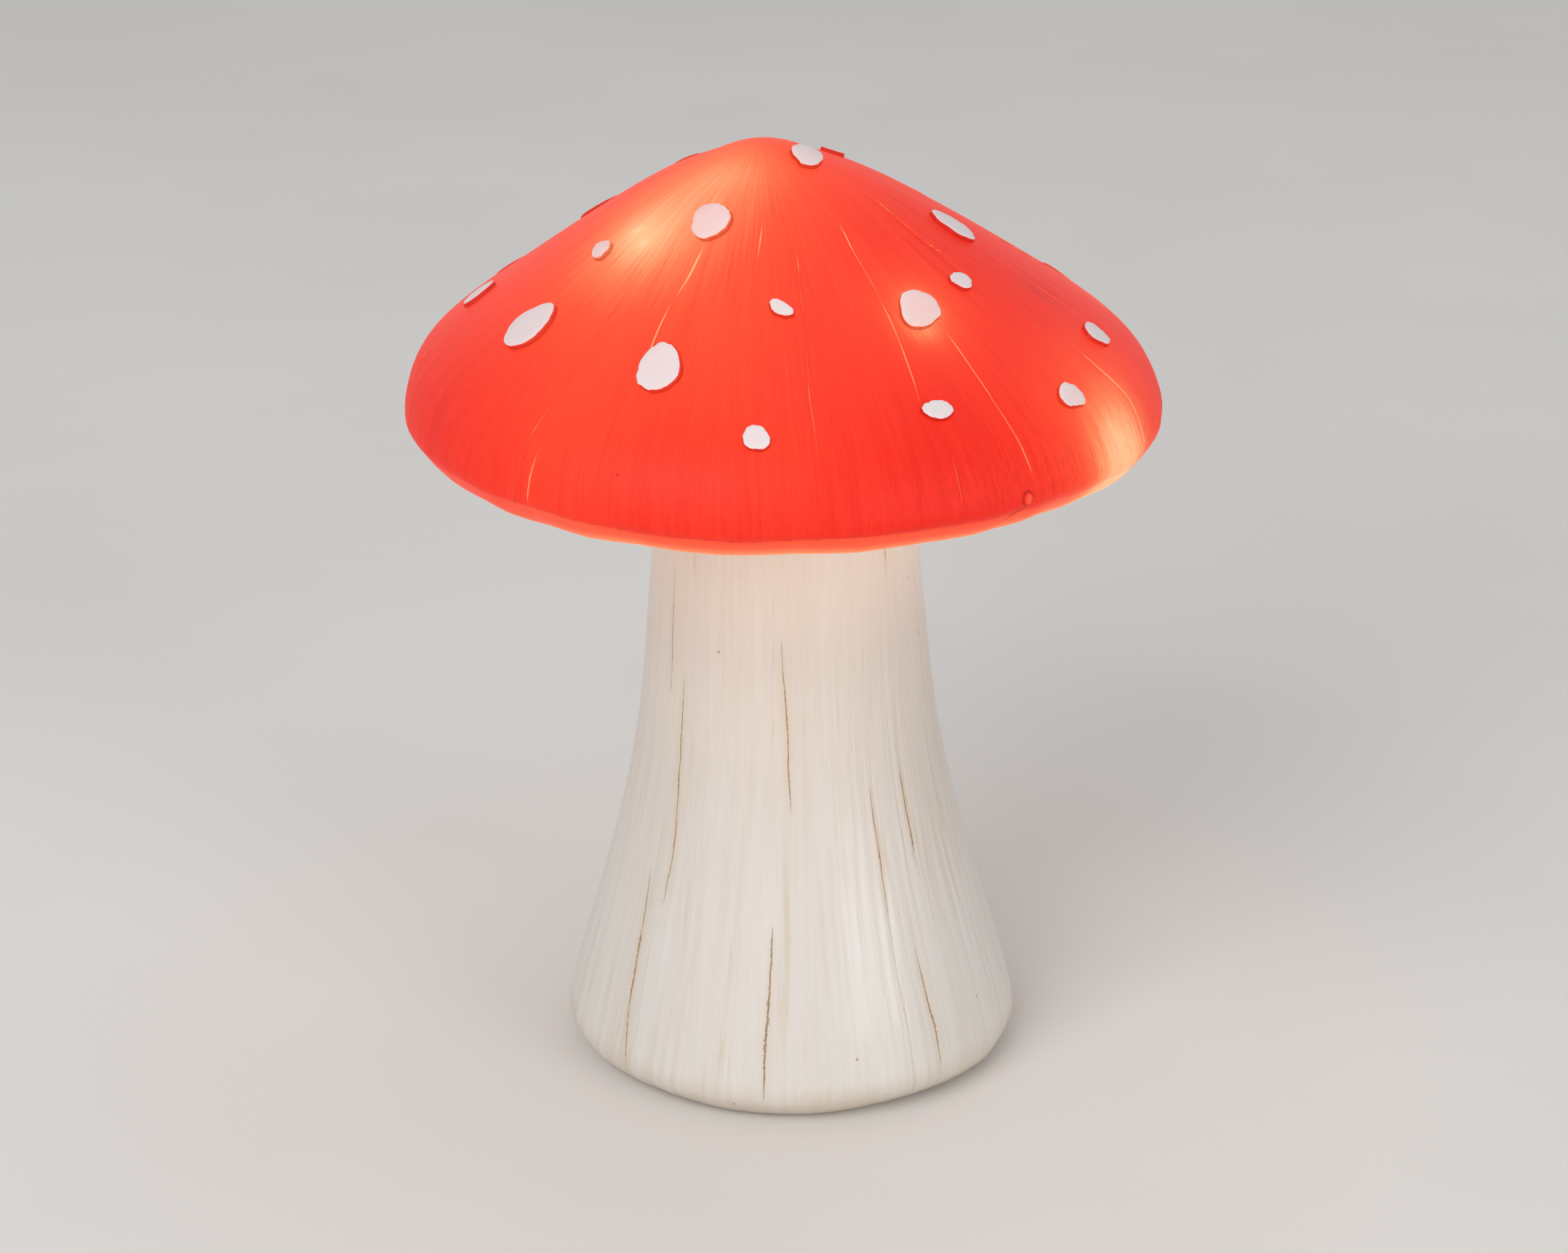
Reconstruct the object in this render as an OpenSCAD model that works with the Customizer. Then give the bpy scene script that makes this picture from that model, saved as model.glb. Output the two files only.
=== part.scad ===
// Mushroom lamp: a hollow cast cap and stem, lit from inside by a string of lamps.
// The battery box, timer board and switch sit in the foot, behind a base plate.
// Z is up, the front faces -Y, and the origin is the middle of the face it stands on.

/* [Overall] */
// Height of the whole lamp
lamp_h = 365; // [340:1:400]
// Diameter of the cap at its widest
cap_d = 285; // [270:1:310]

/* [Cap] */
// Height of the dome above the cap's widest level
dome_h = 98; // [88:1:110]
// Drop of the rolled rim below the widest level
rim_drop = 16.5; // [14:0.5:19]
// How far the rim rolls in under the cap
rim_roll = 21.5; // [19:0.5:24]
// Thickness of the cast cap
cap_wall = 4.5; // [3.5:0.25:5.5]
// Thickness of the underside
under_t = 3.5; // [3:0.25:5]
// Rise of the underside from the rim to the stem
under_rise = 10.5; // [8:0.5:13]
// Number of gills under the cap
gill_count = 60; // [24:1:72]
// Thickness of a gill
gill_t = 1.6; // [1:0.2:2.4]

/* [Spots] */
// Length of the largest raised spot
spot_len = 21; // [16:0.5:24]
// Height of a spot over the cap
spot_h = 1.8; // [1:0.1:2.4]

/* [Stem] */
// Diameter of the foot at its widest
foot_d = 177; // [172:1:190]
// Outer diameter of the flat ring that the lamp stands on
stand_d = 153; // [148:1:156]
// Diameter of the neck under the cap
neck_d = 97.6; // [92:0.4:106]
// Thickness of the cast stem
stem_wall = 5; // [4:0.25:6]
// Thickness of the flange at the stem's top
flange_t = 5; // [4:0.5:7]

/* [Base] */
// Diameter of the base plate
plate_d = 132; // [131:0.25:134]
// Thickness of the base plate
plate_t = 3; // [2.5:0.25:3.5]
// Depth of the base plate's face above the table
plate_up = 5; // [5:0.25:7]
// Thickness of the base seal
seal_t = 1.5; // [1:0.25:2.5]

/* [Batteries] */
// Diameter of an AA cell
cell_d = 14.5; // [13.5:0.1:14.6]
// Length of an AA cell without its nub
cell_l = 49.5; // [47.5:0.1:50]
// Wall of the battery box
box_wall = 2; // [1.5:0.25:2.25]
// Thickness of the battery lid
lid_t = 2.2; // [1.8:0.1:2.4]

/* [Switch] */
// Travel from ON past OFF to TIMER
switch_travel = 4; // [3:0.25:4.5]
// Width of the finger knob
knob_w = 6; // [5:0.25:8]

/* [Light string] */
// Diameter of a lamp's clear body
led_d = 5; // [4:0.25:5.5]
// Diameter of the string's wire
wire_d = 2; // [1.5:0.25:2.25]

/* [Hidden] */
$fn = 96;
cut_over = 1;
glue_gap = 0.1;
rest_gap = 0.3;
slip = 0.05;
curve_steps = 5;

// Levels and radii that the pieces share
cap_r = cap_d / 2;
wide_z = lamp_h - dome_h;
rim_z = wide_z - rim_drop;
stem_z = rim_z + under_rise;
mouth_r = cap_r - rim_roll;
neck_r = neck_d / 2;
foot_r = foot_d / 2;
stand_r = stand_d / 2;

// Smooth curve through points, its ends turned as the neighbours given
function bend(a, b, c, d, t) =
    (2 * b + (c - a) * t + (2 * a - 5 * b + 4 * c - d) * t * t + (3 * b - a - 3 * c + d) * t * t * t) / 2;
function at(list, i, before, after) = i < 0 ? before : i >= len(list) ? after : list[i];
function curve(list, before, after, n = curve_steps) = concat(
    [for (i = [0:len(list) - 2])
        for (k = [0:n - 1])
            bend(at(list, i - 1, before, after), list[i], list[i + 1], at(list, i + 2, before, after), k / n)],
    [list[len(list) - 1]]);
function unit(v) = v / norm(v);
function turned(list) = [for (i = [len(list) - 1:-1:0]) list[i]];
function last(list) = list[len(list) - 1];

// Outline of the dome: share of the cap's radius, and of the dome's height down from the top
dome_shares = [
    [0, 0], [0.17, 0.062], [0.34, 0.192], [0.52, 0.358],
    [0.7, 0.535], [0.86, 0.7], [0.955, 0.835], [1, 1]];
// Outline of the rolled rim: share of its roll, and of its drop
rim_shares = [[0.15, 0.46], [0.53, 0.9], [0.79, 1], [1, 1]];
dome_points = [for (s = dome_shares) [s[0] * cap_r, lamp_h - s[1] * dome_h]];
rim_points = [for (s = rim_shares) [cap_r - s[0] * rim_roll, wide_z - s[1] * rim_drop]];
cap_outer = curve(concat(dome_points, rim_points),
    [-dome_points[1][0], dome_points[1][1]], [mouth_r - cap_wall, rim_z]);

// Moves an outline in along its normals, its ends straight up or down
function run_at(list, i) = unit(list[min(i + 1, len(list) - 1)] - list[max(i - 1, 0)]);
function inset(list, t) = [for (i = [0:len(list) - 1])
    i == 0 ? list[0] - [0, t] :
    i == len(list) - 1 ? list[i] + [0, t] :
    let (a = run_at(list, i)) list[i] + t * [a[1], -a[0]]];

// Height and slope of the dome at a radius
dome_outer = [for (p = cap_outer) if (p[1] >= wide_z) p];
slope_step = cap_r / 400;
function dome_z(r) = lookup(r, dome_outer);
function slope(r) = atan2(dome_z(r - slope_step) - dome_z(r + slope_step), 2 * slope_step);

// Stands a child on the dome: azimuth from the front, share of the radius, lift off the surface
module on_cap(azimuth, share, lift = 0) {
    rotate([0, 0, azimuth])
        translate([0, -share * cap_r, dome_z(share * cap_r)])
            rotate([slope(share * cap_r), 0, 0])
                translate([0, 0, lift])
                    children();
}

// The same place as a point
function cap_point(azimuth, share, lift) =
    let (a = slope(share * cap_r), r = share * cap_r + lift * sin(a))
    [r * sin(azimuth), -r * cos(azimuth), dome_z(share * cap_r) + lift * cos(a)];

// A pan-head screw that points up, with the head's seat at zero and a cross recess
cross_w = 0.9;
cross_depth_share = 0.55;
cross_len_share = 1.2;
head_draft_share = 0.3;

module screw(r, length, head_r, head_h) {
    difference() {
        union() {
            cylinder(r = r, h = length);
            translate([0, 0, -head_h])
                cylinder(r1 = head_r - head_draft_share * head_h, r2 = head_r, h = head_h);
        }
        for (a = [0, 90])
            rotate([0, 0, a])
                translate([-head_r * cross_len_share / 2, -cross_w / 2, -head_h - cut_over])
                    cube([head_r * cross_len_share, cross_w, cut_over + head_h * cross_depth_share]);
    }
}

// Small self-tapping screw for the battery box and the timer board
small_r = 1.25;
small_l = 4.5;
small_head_r = 2.2;
small_head_h = 1.5;

// A slab with round corners, standing on zero
module slab(w, l, t, r) {
    linear_extrude(height = t)
        union() {
            square([w - 2 * r, l], center = true);
            square([w, l - 2 * r], center = true);
            for (x = [-1, 1])
                for (y = [-1, 1])
                    translate([x * (w / 2 - r), y * (l / 2 - r)])
                        circle(r = r);
        }
}

// A round wire of a few sides along a list of points, its first ring turned by a side vector
function level(side, t) = unit(side - (side * t) * t);
function sides_along(path, side, i = 0) = i == len(path) ? [] :
    let (s = level(side, run_at(path, i))) concat([s], sides_along(path, s, i + 1));

module wire(path, side, r, n) {
    sides = sides_along(path, side);
    top = len(path) - 1;
    points = [for (i = [0:top])
        for (k = [0:n - 1])
            path[i] + r * (cos(k * 360 / n) * sides[i] + sin(k * 360 / n) * cross(run_at(path, i), sides[i]))];
    walls = [for (i = [0:top - 1])
        for (k = [0:n - 1])
            let (m = (k + 1) % n)
            each [[(i + 1) * n + m, i * n + m, i * n + k], [(i + 1) * n + k, (i + 1) * n + m, i * n + k]]];
    ends = [[for (k = [0:n - 1]) k], [for (k = [n - 1:-1:0]) top * n + k]];
    polyhedron(points = points, faces = concat(walls, ends));
}

// Cap: one hollow casting whose rim rolls under to the mouth
module cap_shell() {
    color("orangered")
        rotate_extrude()
            polygon(concat(cap_outer, turned(inset(cap_outer, cap_wall))));
}

// Raised spots: azimuth, share of the cap's radius, length and width as shares of the largest, turn
spot_shares = [
    [64.1, 0.121, 0.76, 0.57, -79], [-24.8, 0.337, 0.76, 0.69, 7], [82.2, 0.476, 0.84, 0.66, 10],
    [-61.1, 0.488, 0.44, 0.36, -114], [55.2, 0.579, 0.46, 0.35, -102],
    [-92.6, 0.78, 0.66, 0.5, 0], [36.5, 0.612, 0.84, 0.74, -54], [2.4, 0.571, 0.42, 0.28, -130],
    [-58.9, 0.722, 1, 0.84, 5], [76.4, 0.842, 0.6, 0.5, -103], [-22.5, 0.74, 1, 0.7, 5],
    [53.5, 0.904, 0.55, 0.49, -108], [27, 0.857, 0.52, 0.37, -98],
    [-3.4, 0.891, 0.46, 0.43, -118], [-143, 0.342, 0.8, 0.66, 0], [-124, 0.552, 0.8, 0.7, 0],
    [-121, 0.847, 0.6, 0.5, 20], [134, 0.516, 0.7, 0.6, -20], [121, 0.884, 0.66, 0.52, 0],
    [150, 0.66, 0.9, 0.74, 30], [160, 0.33, 0.74, 0.66, -15], [180, 0.8, 0.86, 0.72, 80],
    [-148, 0.62, 0.82, 0.6, 10], [-136, 0.86, 0.5, 0.44, -60], [-164, 0.89, 0.52, 0.4, 95],
    [152, 0.88, 0.46, 0.4, -70], [-158, 0.44, 0.42, 0.35, 40], [128, 0.22, 0.46, 0.38, 0],
    [-177, 0.52, 0.44, 0.34, 60], [132, 0.88, 0.5, 0.42, -105], [-175, 0.24, 0.46, 0.36, -110]];
wave_shares = [0.05, 0.045];
spot_sides = 24;

// Uneven round outline, turned by its own seed
function blob(length, width, seed) = [for (k = [0:spot_sides - 1])
    let (a = k * 360 / spot_sides,
        w = 1 + wave_shares[0] * sin(2 * a + 67 * seed) + wave_shares[1] * sin(3 * a + 131 * seed))
    [w * width / 2 * sin(a), -w * length / 2 * cos(a)]];

module cap_spots() {
    color("mistyrose")
        for (i = [0:len(spot_shares) - 1])
            on_cap(spot_shares[i][0], spot_shares[i][1], glue_gap + slip)
                rotate([0, 0, spot_shares[i][4]])
                    linear_extrude(height = spot_h)
                        polygon(blob(spot_shares[i][2] * spot_len, spot_shares[i][3] * spot_len, i));
}

// Screws that join the stem's flange to the underside, on washers
cap_screw_r = 2;
cap_screw_l = 15;
cap_screw_head_r = 3.8;
cap_screw_head_h = 2.6;
cap_screw_at = 30;
cap_screw_count = 3;
washer_r = 6;
washer_t = 1;
cap_screw_z = stem_z - flange_t - washer_t;

module cap_screw_places(z) {
    for (i = [0:cap_screw_count - 1])
        rotate([0, 0, i * 360 / cap_screw_count])
            translate([cap_screw_at, 0, z])
                children();
}

module cap_screws() {
    color("silver")
        cap_screw_places(cap_screw_z)
            screw(cap_screw_r, cap_screw_l, cap_screw_head_r, cap_screw_head_h);
}

module cap_washers() {
    color("lightgray")
        cap_screw_places(cap_screw_z)
            difference() {
                cylinder(r = washer_r, h = washer_t);
                translate([0, 0, -cut_over])
                    cylinder(r = cap_screw_r + slip, h = washer_t + 2 * cut_over);
            }
}

// Underside: a dished disc with gills, glued into the mouth and seated on the stem
under_edge_up = 1.5;
hub_step = 9;
grommet_hole_r = 6;
boss_wall = 3;
boss_h = cap_screw_l - flange_t - washer_t + boss_wall;
gill_edge = 3;
gill_hub_gap = 2;
gill_depth = 4.5;
gill_hub_depth = 2.5;
gill_low_share = 0.7;
under_r = mouth_r - rest_gap;
hub_r = neck_r + hub_step;
gill_out_r = under_r - gill_edge;
gill_in_r = hub_r + gill_hub_gap;
gill_low_r = gill_in_r + gill_low_share * (gill_out_r - gill_in_r);
function under_z(r) = lookup(r, [[hub_r, stem_z], [under_r, rim_z + under_edge_up]]);

module gill() {
    rotate([90, 0, 0])
        linear_extrude(height = gill_t, center = true)
            polygon([
                [gill_in_r, under_z(gill_in_r) + under_t / 2],
                [gill_in_r, under_z(gill_in_r) - gill_hub_depth],
                [gill_low_r, max(under_z(gill_low_r) - gill_depth, rim_z)],
                [gill_out_r, under_z(gill_out_r)],
                [gill_out_r, under_z(gill_out_r) + under_t / 2]]);
}

module cap_underside() {
    color("navajowhite")
        difference() {
            union() {
                rotate_extrude()
                    polygon([
                        [0, stem_z], [hub_r, stem_z], [under_r, under_z(under_r)],
                        [under_r, under_z(under_r) + under_t], [hub_r, stem_z + under_t], [0, stem_z + under_t]]);
                for (i = [0:gill_count - 1])
                    rotate([0, 0, i * 360 / gill_count])
                        gill();
                cap_screw_places(stem_z)
                    cylinder(r = cap_screw_r + boss_wall, h = boss_h);
            }
            translate([0, 0, stem_z - cut_over])
                cylinder(r = grommet_hole_r, h = under_t + 2 * cut_over);
            cap_screw_places(cap_screw_z)
                cylinder(r = cap_screw_r + slip, h = cap_screw_l + rest_gap);
        }
}

// Base plate levels, and the ring in the foot that the plate is screwed to
ring_t = 8.5;
ring_w = 10.5;
base_screw_r = 1.75;
base_screw_l = 11;
base_screw_head_r = 3.4;
base_screw_head_h = 2.2;
base_screw_count = 4;
plate_r = plate_d / 2;
recess_r = plate_r + rest_gap;
plate_top = plate_up + plate_t;
seal_top = plate_top + seal_t;
ring_r = recess_r - ring_w;
ring_top = seal_top + ring_t;
base_screw_at = (recess_r + ring_r) / 2;

module base_screw_places(z) {
    for (i = [0:base_screw_count - 1])
        rotate([0, 0, (i + 0.5) * 360 / base_screw_count])
            translate([base_screw_at, 0, z])
                children();
}

// Outline of the stem: share of its height, and of the way from the neck out to the foot
stem_shares = [
    [0.054, 1], [0.13, 0.88], [0.23, 0.69], [0.37, 0.44],
    [0.52, 0.237], [0.7, 0.11], [0.86, 0.03], [1, 0]];
// Rounding of the foot: share of the way from the stand ring to the widest, and of its height
edge_shares = [[0, 0], [0.62, 0.2], [0.95, 0.58]];
edge_h = stem_shares[0][0] * stem_z;
stem_outer = curve(
    concat(
        [for (s = edge_shares) [stand_r + s[0] * (foot_r - stand_r), s[1] * edge_h]],
        [for (s = stem_shares) [neck_r + s[1] * (foot_r - neck_r), s[0] * stem_z]]),
    [2 * stand_r - foot_r, 0], [neck_r, stem_z + edge_h]);
stem_inner = [for (p = stem_outer)
    if (p[1] > ring_top && p[1] < stem_z - flange_t) [p[0] - stem_wall, p[1]]];
wire_way_r = 14;

// Stem: one hollow casting with a flange at the top and a thick ring in the foot
module stem_shell() {
    color("antiquewhite")
        difference() {
            rotate_extrude()
                polygon(concat(
                    stem_outer,
                    [[wire_way_r, stem_z], [wire_way_r, stem_z - flange_t],
                        [last(stem_inner)[0], stem_z - flange_t]],
                    turned(stem_inner),
                    [[stem_inner[0][0], ring_top], [ring_r, ring_top], [ring_r, seal_top],
                        [recess_r, seal_top], [recess_r, 0]]));
            base_screw_places(plate_up)
                cylinder(r = base_screw_r + slip, h = base_screw_l + rest_gap);
            cap_screw_places(cap_screw_z)
                cylinder(r = cap_screw_r + slip + glue_gap, h = flange_t + washer_t + cut_over);
        }
}

// Rubber grommet in the middle of the underside, its lips under and over the disc
grommet_lip_t = 1.5;
grommet_lip_w = 2.5;
grommet_neck_r = grommet_hole_r - slip;
grommet_out_r = grommet_hole_r + grommet_lip_w;
wire_hole_r = wire_d / 2 + slip;

module wire_grommet() {
    color("dimgray")
        translate([0, 0, stem_z])
            rotate_extrude()
                polygon([
                    [wire_hole_r, -grommet_lip_t], [grommet_out_r, -grommet_lip_t],
                    [grommet_out_r, 0], [grommet_neck_r, 0], [grommet_neck_r, under_t],
                    [grommet_out_r, under_t], [grommet_out_r, under_t + grommet_lip_t],
                    [wire_hole_r, under_t + grommet_lip_t]]);
}

// Battery box: an open-bottomed bay over the base plate's window
box_x = -12;
cell_gap = 0.5;
cell_play = 0.2;
cell_count = 3;
nub_r = 2.75;
nub_h = 1;
contact_t = 0.5;
contact_h = 10;
contact_w = 9;
spring_l = 7;
box_flange_w = 6;
box_flange_t = 2;
box_screw_in = 5;
corner_r = 3;
rib_w = 1;
rib_h = 3.5;
lead_r = 0.7;
cell_pitch = cell_d + cell_gap;
bay_w = cell_count * cell_pitch + cell_gap;
bay_l = cell_l + nub_h + spring_l + 2 * (contact_t + cell_play + glue_gap);
cell_z = plate_up + cell_gap + cell_d / 2;
bay_top = cell_z + cell_d / 2 + cell_gap;
lead_z = cell_z + contact_h / 2 - 2 * lead_r;
function cell_x(i) = box_x + (i - (cell_count - 1) / 2) * cell_pitch;

module box_screw_places(z) {
    for (x = [-1, 1])
        for (y = [-1, 1])
            translate([box_x + x * (bay_w / 2 + box_wall + box_flange_w / 2), y * (bay_l / 2 - box_screw_in), z])
                children();
}

module battery_box() {
    color("gray")
        difference() {
            translate([box_x, 0, plate_top])
                union() {
                    slab(bay_w + 2 * (box_wall + box_flange_w), bay_l + 2 * box_wall, box_flange_t, corner_r);
                    slab(bay_w + 2 * box_wall, bay_l + 2 * box_wall, bay_top + box_wall - plate_top, box_wall);
                }
            difference() {
                translate([box_x - bay_w / 2, -bay_l / 2, plate_top - cut_over])
                    cube([bay_w, bay_l, bay_top - plate_top + cut_over]);
                for (x = [-1, 1])
                    translate([box_x + (x * cell_pitch - rib_w) / 2, spring_l - cell_l / 2, bay_top - rib_h])
                        cube([rib_w, cell_l - 2 * spring_l, rib_h + box_wall / 2]);
            }
            box_screw_places(plate_top - cut_over)
                cylinder(r = small_r + slip, h = box_flange_t + 2 * cut_over);
            for (side = [-1, 1])
                translate([box_x - side * cell_pitch, side * (bay_l + box_wall) / 2, lead_z])
                    rotate([90, 0, 0])
                        cylinder(r = lead_r + slip, h = box_wall + 2 * cut_over, center = true);
        }
}

module box_screws() {
    color("silver")
        box_screw_places(plate_top + box_flange_t)
            mirror([0, 0, 1])
                screw(small_r, small_l - rest_gap, small_head_r, small_head_h);
}

// AA cells side by side, turned end for end so that they are in series
cell_edge = 0.6;
function cell_side(i) = i % 2 == 0 ? 1 : -1;

module battery(i) {
    color("darkseagreen")
        translate([cell_x(i), cell_side(i) * (bay_l / 2 - contact_t - glue_gap - cell_play), cell_z])
            rotate([cell_side(i) * 90, 0, 0])
                rotate_extrude()
                    polygon([
                        [0, 0], [nub_r, 0], [nub_r, nub_h], [cell_d / 2 - cell_edge, nub_h],
                        [cell_d / 2, nub_h + cell_edge], [cell_d / 2, nub_h + cell_l - cell_edge],
                        [cell_d / 2 - cell_edge, nub_h + cell_l], [0, nub_h + cell_l]]);
}

// Contacts: single plates for the two leads, and pairs that join neighbouring cells
module contact(x_low, x_high, side) {
    translate([x_low, side * (bay_l / 2 - contact_t / 2 - glue_gap) - contact_t / 2, cell_z - contact_h / 2])
        cube([x_high - x_low, contact_t, contact_h]);
}

module contact_plates() {
    half = contact_w / 2;
    color("gainsboro") {
        contact(cell_x(0) - half, cell_x(0) + half, 1);
        contact(cell_x(0) - half, cell_x(1) + half, -1);
        contact(cell_x(1) - half, cell_x(2) + half, 1);
        contact(cell_x(2) - half, cell_x(2) + half, -1);
    }
}

// Conical springs behind the flat ends of the cells
spring_wire_r = 0.4;
spring_wide_r = 4;
spring_slim_r = 2.2;
spring_turns = 4;
spring_rings = 8;
spring_sides = 6;
spring_run = spring_l - 2 * spring_wire_r - glue_gap;
spring_path = [for (i = [0:spring_turns * spring_rings])
    let (s = i / (spring_turns * spring_rings),
        a = i * 360 / spring_rings,
        r = spring_wide_r + s * (spring_slim_r - spring_wide_r))
    [r * cos(a), r * sin(a), spring_wire_r + glue_gap + s * spring_run]];

module contact_springs() {
    color("silver")
        for (i = [0:cell_count - 1])
            translate([cell_x(i), -cell_side(i) * (bay_l / 2 - contact_t - glue_gap), cell_z])
                rotate([-cell_side(i) * 90, 0, 0])
                    wire(spring_path, [0, 0, 1], spring_wire_r, spring_sides);
}

// Battery lid, held to the base plate by two captive screws in brass inserts
lid_screw_r = 1.5;
lid_screw_l = 8;
lid_screw_head_r = 3;
lid_screw_head_h = 1.6;
insert_r = 2.9;
insert_h = 7;
insert_wall = 1.8;
lid_up = 1.2;
lid_side = 4.5;
lid_end = 5.5;
lid_pad_wall = 0.9;
finger_ribs = 7;
finger_pitch = 4;
finger_w = 1.4;
finger_l = 20;
finger_h = 0.6;
insert_boss_r = insert_r + insert_wall;
insert_boss_h = insert_h + box_wall;
lid_screw_y = bay_l / 2 + box_wall + insert_boss_r + rest_gap;
lid_top = lid_up + lid_t;
lid_pad_r = lid_screw_head_r + lid_pad_wall;
lid_w = bay_w + 2 * lid_side;
lid_l = 2 * (lid_screw_y + lid_end);

module lid_screw_places(z) {
    for (y = [-1, 1])
        translate([box_x, y * lid_screw_y, z])
            children();
}

module battery_lid() {
    color("gray")
        difference() {
            union() {
                translate([box_x, 0, lid_up])
                    slab(lid_w, lid_l, lid_t, corner_r);
                lid_screw_places(lid_up)
                    cylinder(r = lid_pad_r, h = plate_up - rest_gap - lid_up);
                for (i = [0:finger_ribs - 1])
                    translate([box_x - finger_l / 2,
                        (i - (finger_ribs - 1) / 2) * finger_pitch - finger_w / 2, lid_up - finger_h])
                        cube([finger_l, finger_w, finger_h + lid_t / 2]);
            }
            lid_screw_places(lid_up - cut_over) {
                cylinder(r = lid_screw_r + slip, h = plate_up);
                cylinder(r = lid_screw_head_r + rest_gap, h = cut_over + lid_screw_head_h + glue_gap);
            }
        }
}

// Foam seal on the lid, round the bay's window
lid_seal_w = 2.5;
lid_seal_h = plate_up - glue_gap - lid_top;
lid_seal_l = 2 * (lid_screw_y - lid_pad_r - rest_gap);

module lid_seal() {
    color("dimgray")
        translate([box_x, 0, lid_top])
            difference() {
                slab(bay_w + 2 * lid_seal_w, lid_seal_l, lid_seal_h, corner_r);
                translate([0, 0, -cut_over])
                    slab(bay_w, lid_seal_l - 2 * lid_seal_w, lid_seal_h + 2 * cut_over, corner_r / 2);
            }
}

module lid_screw(side) {
    color("silver")
        translate([box_x, side * lid_screw_y, lid_up + lid_screw_head_h])
            screw(lid_screw_r, lid_screw_l, lid_screw_head_r, lid_screw_head_h);
}

module lid_inserts() {
    color("goldenrod")
        lid_screw_places(plate_up + glue_gap)
            difference() {
                cylinder(r = insert_r, h = insert_h - 2 * glue_gap);
                translate([0, 0, -cut_over])
                    cylinder(r = lid_screw_r + slip, h = insert_h + 2 * cut_over);
            }
}

// Slide switch under the timer board, and the knob that a finger moves
switch_x = 38;
switch_h = 4.2;
can_w = 7;
can_wall = 0.6;
can_end = 3;
shank_w = 3.4;
shank_l = 4;
slot_play = 0.4;
foot_w = 1;
foot_t = 0.8;
knob_l = 8;
knob_t = 1.8;
knob_gap = 0.4;
knob_rib_w = 0.8;
knob_rib_h = 0.5;
knob_ribs = 3;
can_z = plate_top + glue_gap;
slot_l = shank_l + switch_travel + 2 * slot_play;
can_l = slot_l + 2 * can_end;
can_y = switch_travel / 2;
knob_z = plate_up - knob_gap - knob_t;
foot_z = can_z + can_wall + glue_gap;

module knob_slot(z, t) {
    translate([switch_x - shank_w / 2 - slot_play, can_y - slot_l / 2, z])
        cube([shank_w + 2 * slot_play, slot_l, t]);
}

module switch_body() {
    color("silver")
        difference() {
            translate([switch_x - can_w / 2, can_y - can_l / 2, can_z])
                cube([can_w, can_l, switch_h]);
            translate([switch_x - can_w / 2 + can_wall, can_y - can_l / 2 + can_wall, can_z + can_wall])
                cube([can_w - 2 * can_wall, can_l - 2 * can_wall, switch_h - 2 * can_wall]);
            knob_slot(can_z - cut_over, can_wall + 2 * cut_over);
        }
}

module switch_knob() {
    color("black")
        translate([switch_x, 0, 0]) {
            translate([-shank_w / 2, -shank_l / 2, knob_z + knob_t / 2])
                cube([shank_w, shank_l, foot_z + foot_t - knob_z - knob_t / 2]);
            translate([-shank_w / 2 - foot_w, -shank_l / 2 - foot_w, foot_z])
                cube([shank_w + 2 * foot_w, shank_l + 2 * foot_w, foot_t]);
            translate([-knob_w / 2, -knob_l / 2, knob_z])
                cube([knob_w, knob_l, knob_t]);
            for (i = [0:knob_ribs - 1])
                translate([-knob_w / 2, (i - (knob_ribs - 1) / 2) * 2 * knob_rib_w - knob_rib_w / 2,
                    knob_z - knob_rib_h])
                    cube([knob_w, knob_rib_w, knob_rib_h + knob_t / 2]);
        }
}

// Timer board on two posts of the base plate
board_x = 39;
board_w = 24;
board_l = 38;
board_t = 1.6;
post_r = 2.6;
post_in = 3.2;
board_z = can_z + switch_h + glue_gap;
board_top = board_z + board_t;

module board_post_places(z) {
    for (y = [-1, 1])
        translate([board_x, y * (board_l / 2 - post_in), z])
            children();
}

module timer_board() {
    color("seagreen")
        difference() {
            translate([board_x - board_w / 2, -board_l / 2, board_z])
                cube([board_w, board_l, board_t]);
            board_post_places(board_z - cut_over)
                cylinder(r = small_r + slip, h = board_t + 2 * cut_over);
        }
}

module board_screws() {
    color("silver")
        board_post_places(board_top)
            mirror([0, 0, 1])
                screw(small_r, small_l, small_head_r, small_head_h);
}

// Places on the board as shares of its width and length from its middle
chip_shares = [0, -0.14];
capacitor_shares = [0.3, 0.16];
resistor_shares = [[-0.33, -0.12], [-0.33, -0.02], [-0.33, 0.08]];
red_shares = [-0.2, 0.26];
black_shares = [-0.2, -0.26];
string_shares = [0.28, -0.2];
function on_board(s, up = 0) = [board_x + s[0] * board_w, s[1] * board_l, board_top + up];
chip_w = 4;
chip_l = 5;
chip_t = 1.6;
can_cap_r = 2.5;
can_cap_h = 5.5;
resistor_w = 3.2;
resistor_l = 1.6;
resistor_t = 0.6;

module board_chip() {
    color("black")
        translate(on_board(chip_shares, chip_t / 2))
            cube([chip_w, chip_l, chip_t], center = true);
}

module board_capacitor() {
    color("steelblue")
        translate(on_board(capacitor_shares))
            cylinder(r = can_cap_r, h = can_cap_h);
}

module board_resistors() {
    color("black")
        for (s = resistor_shares)
            translate(on_board(s, resistor_t / 2))
                cube([resistor_w, resistor_l, resistor_t], center = true);
}

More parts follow.
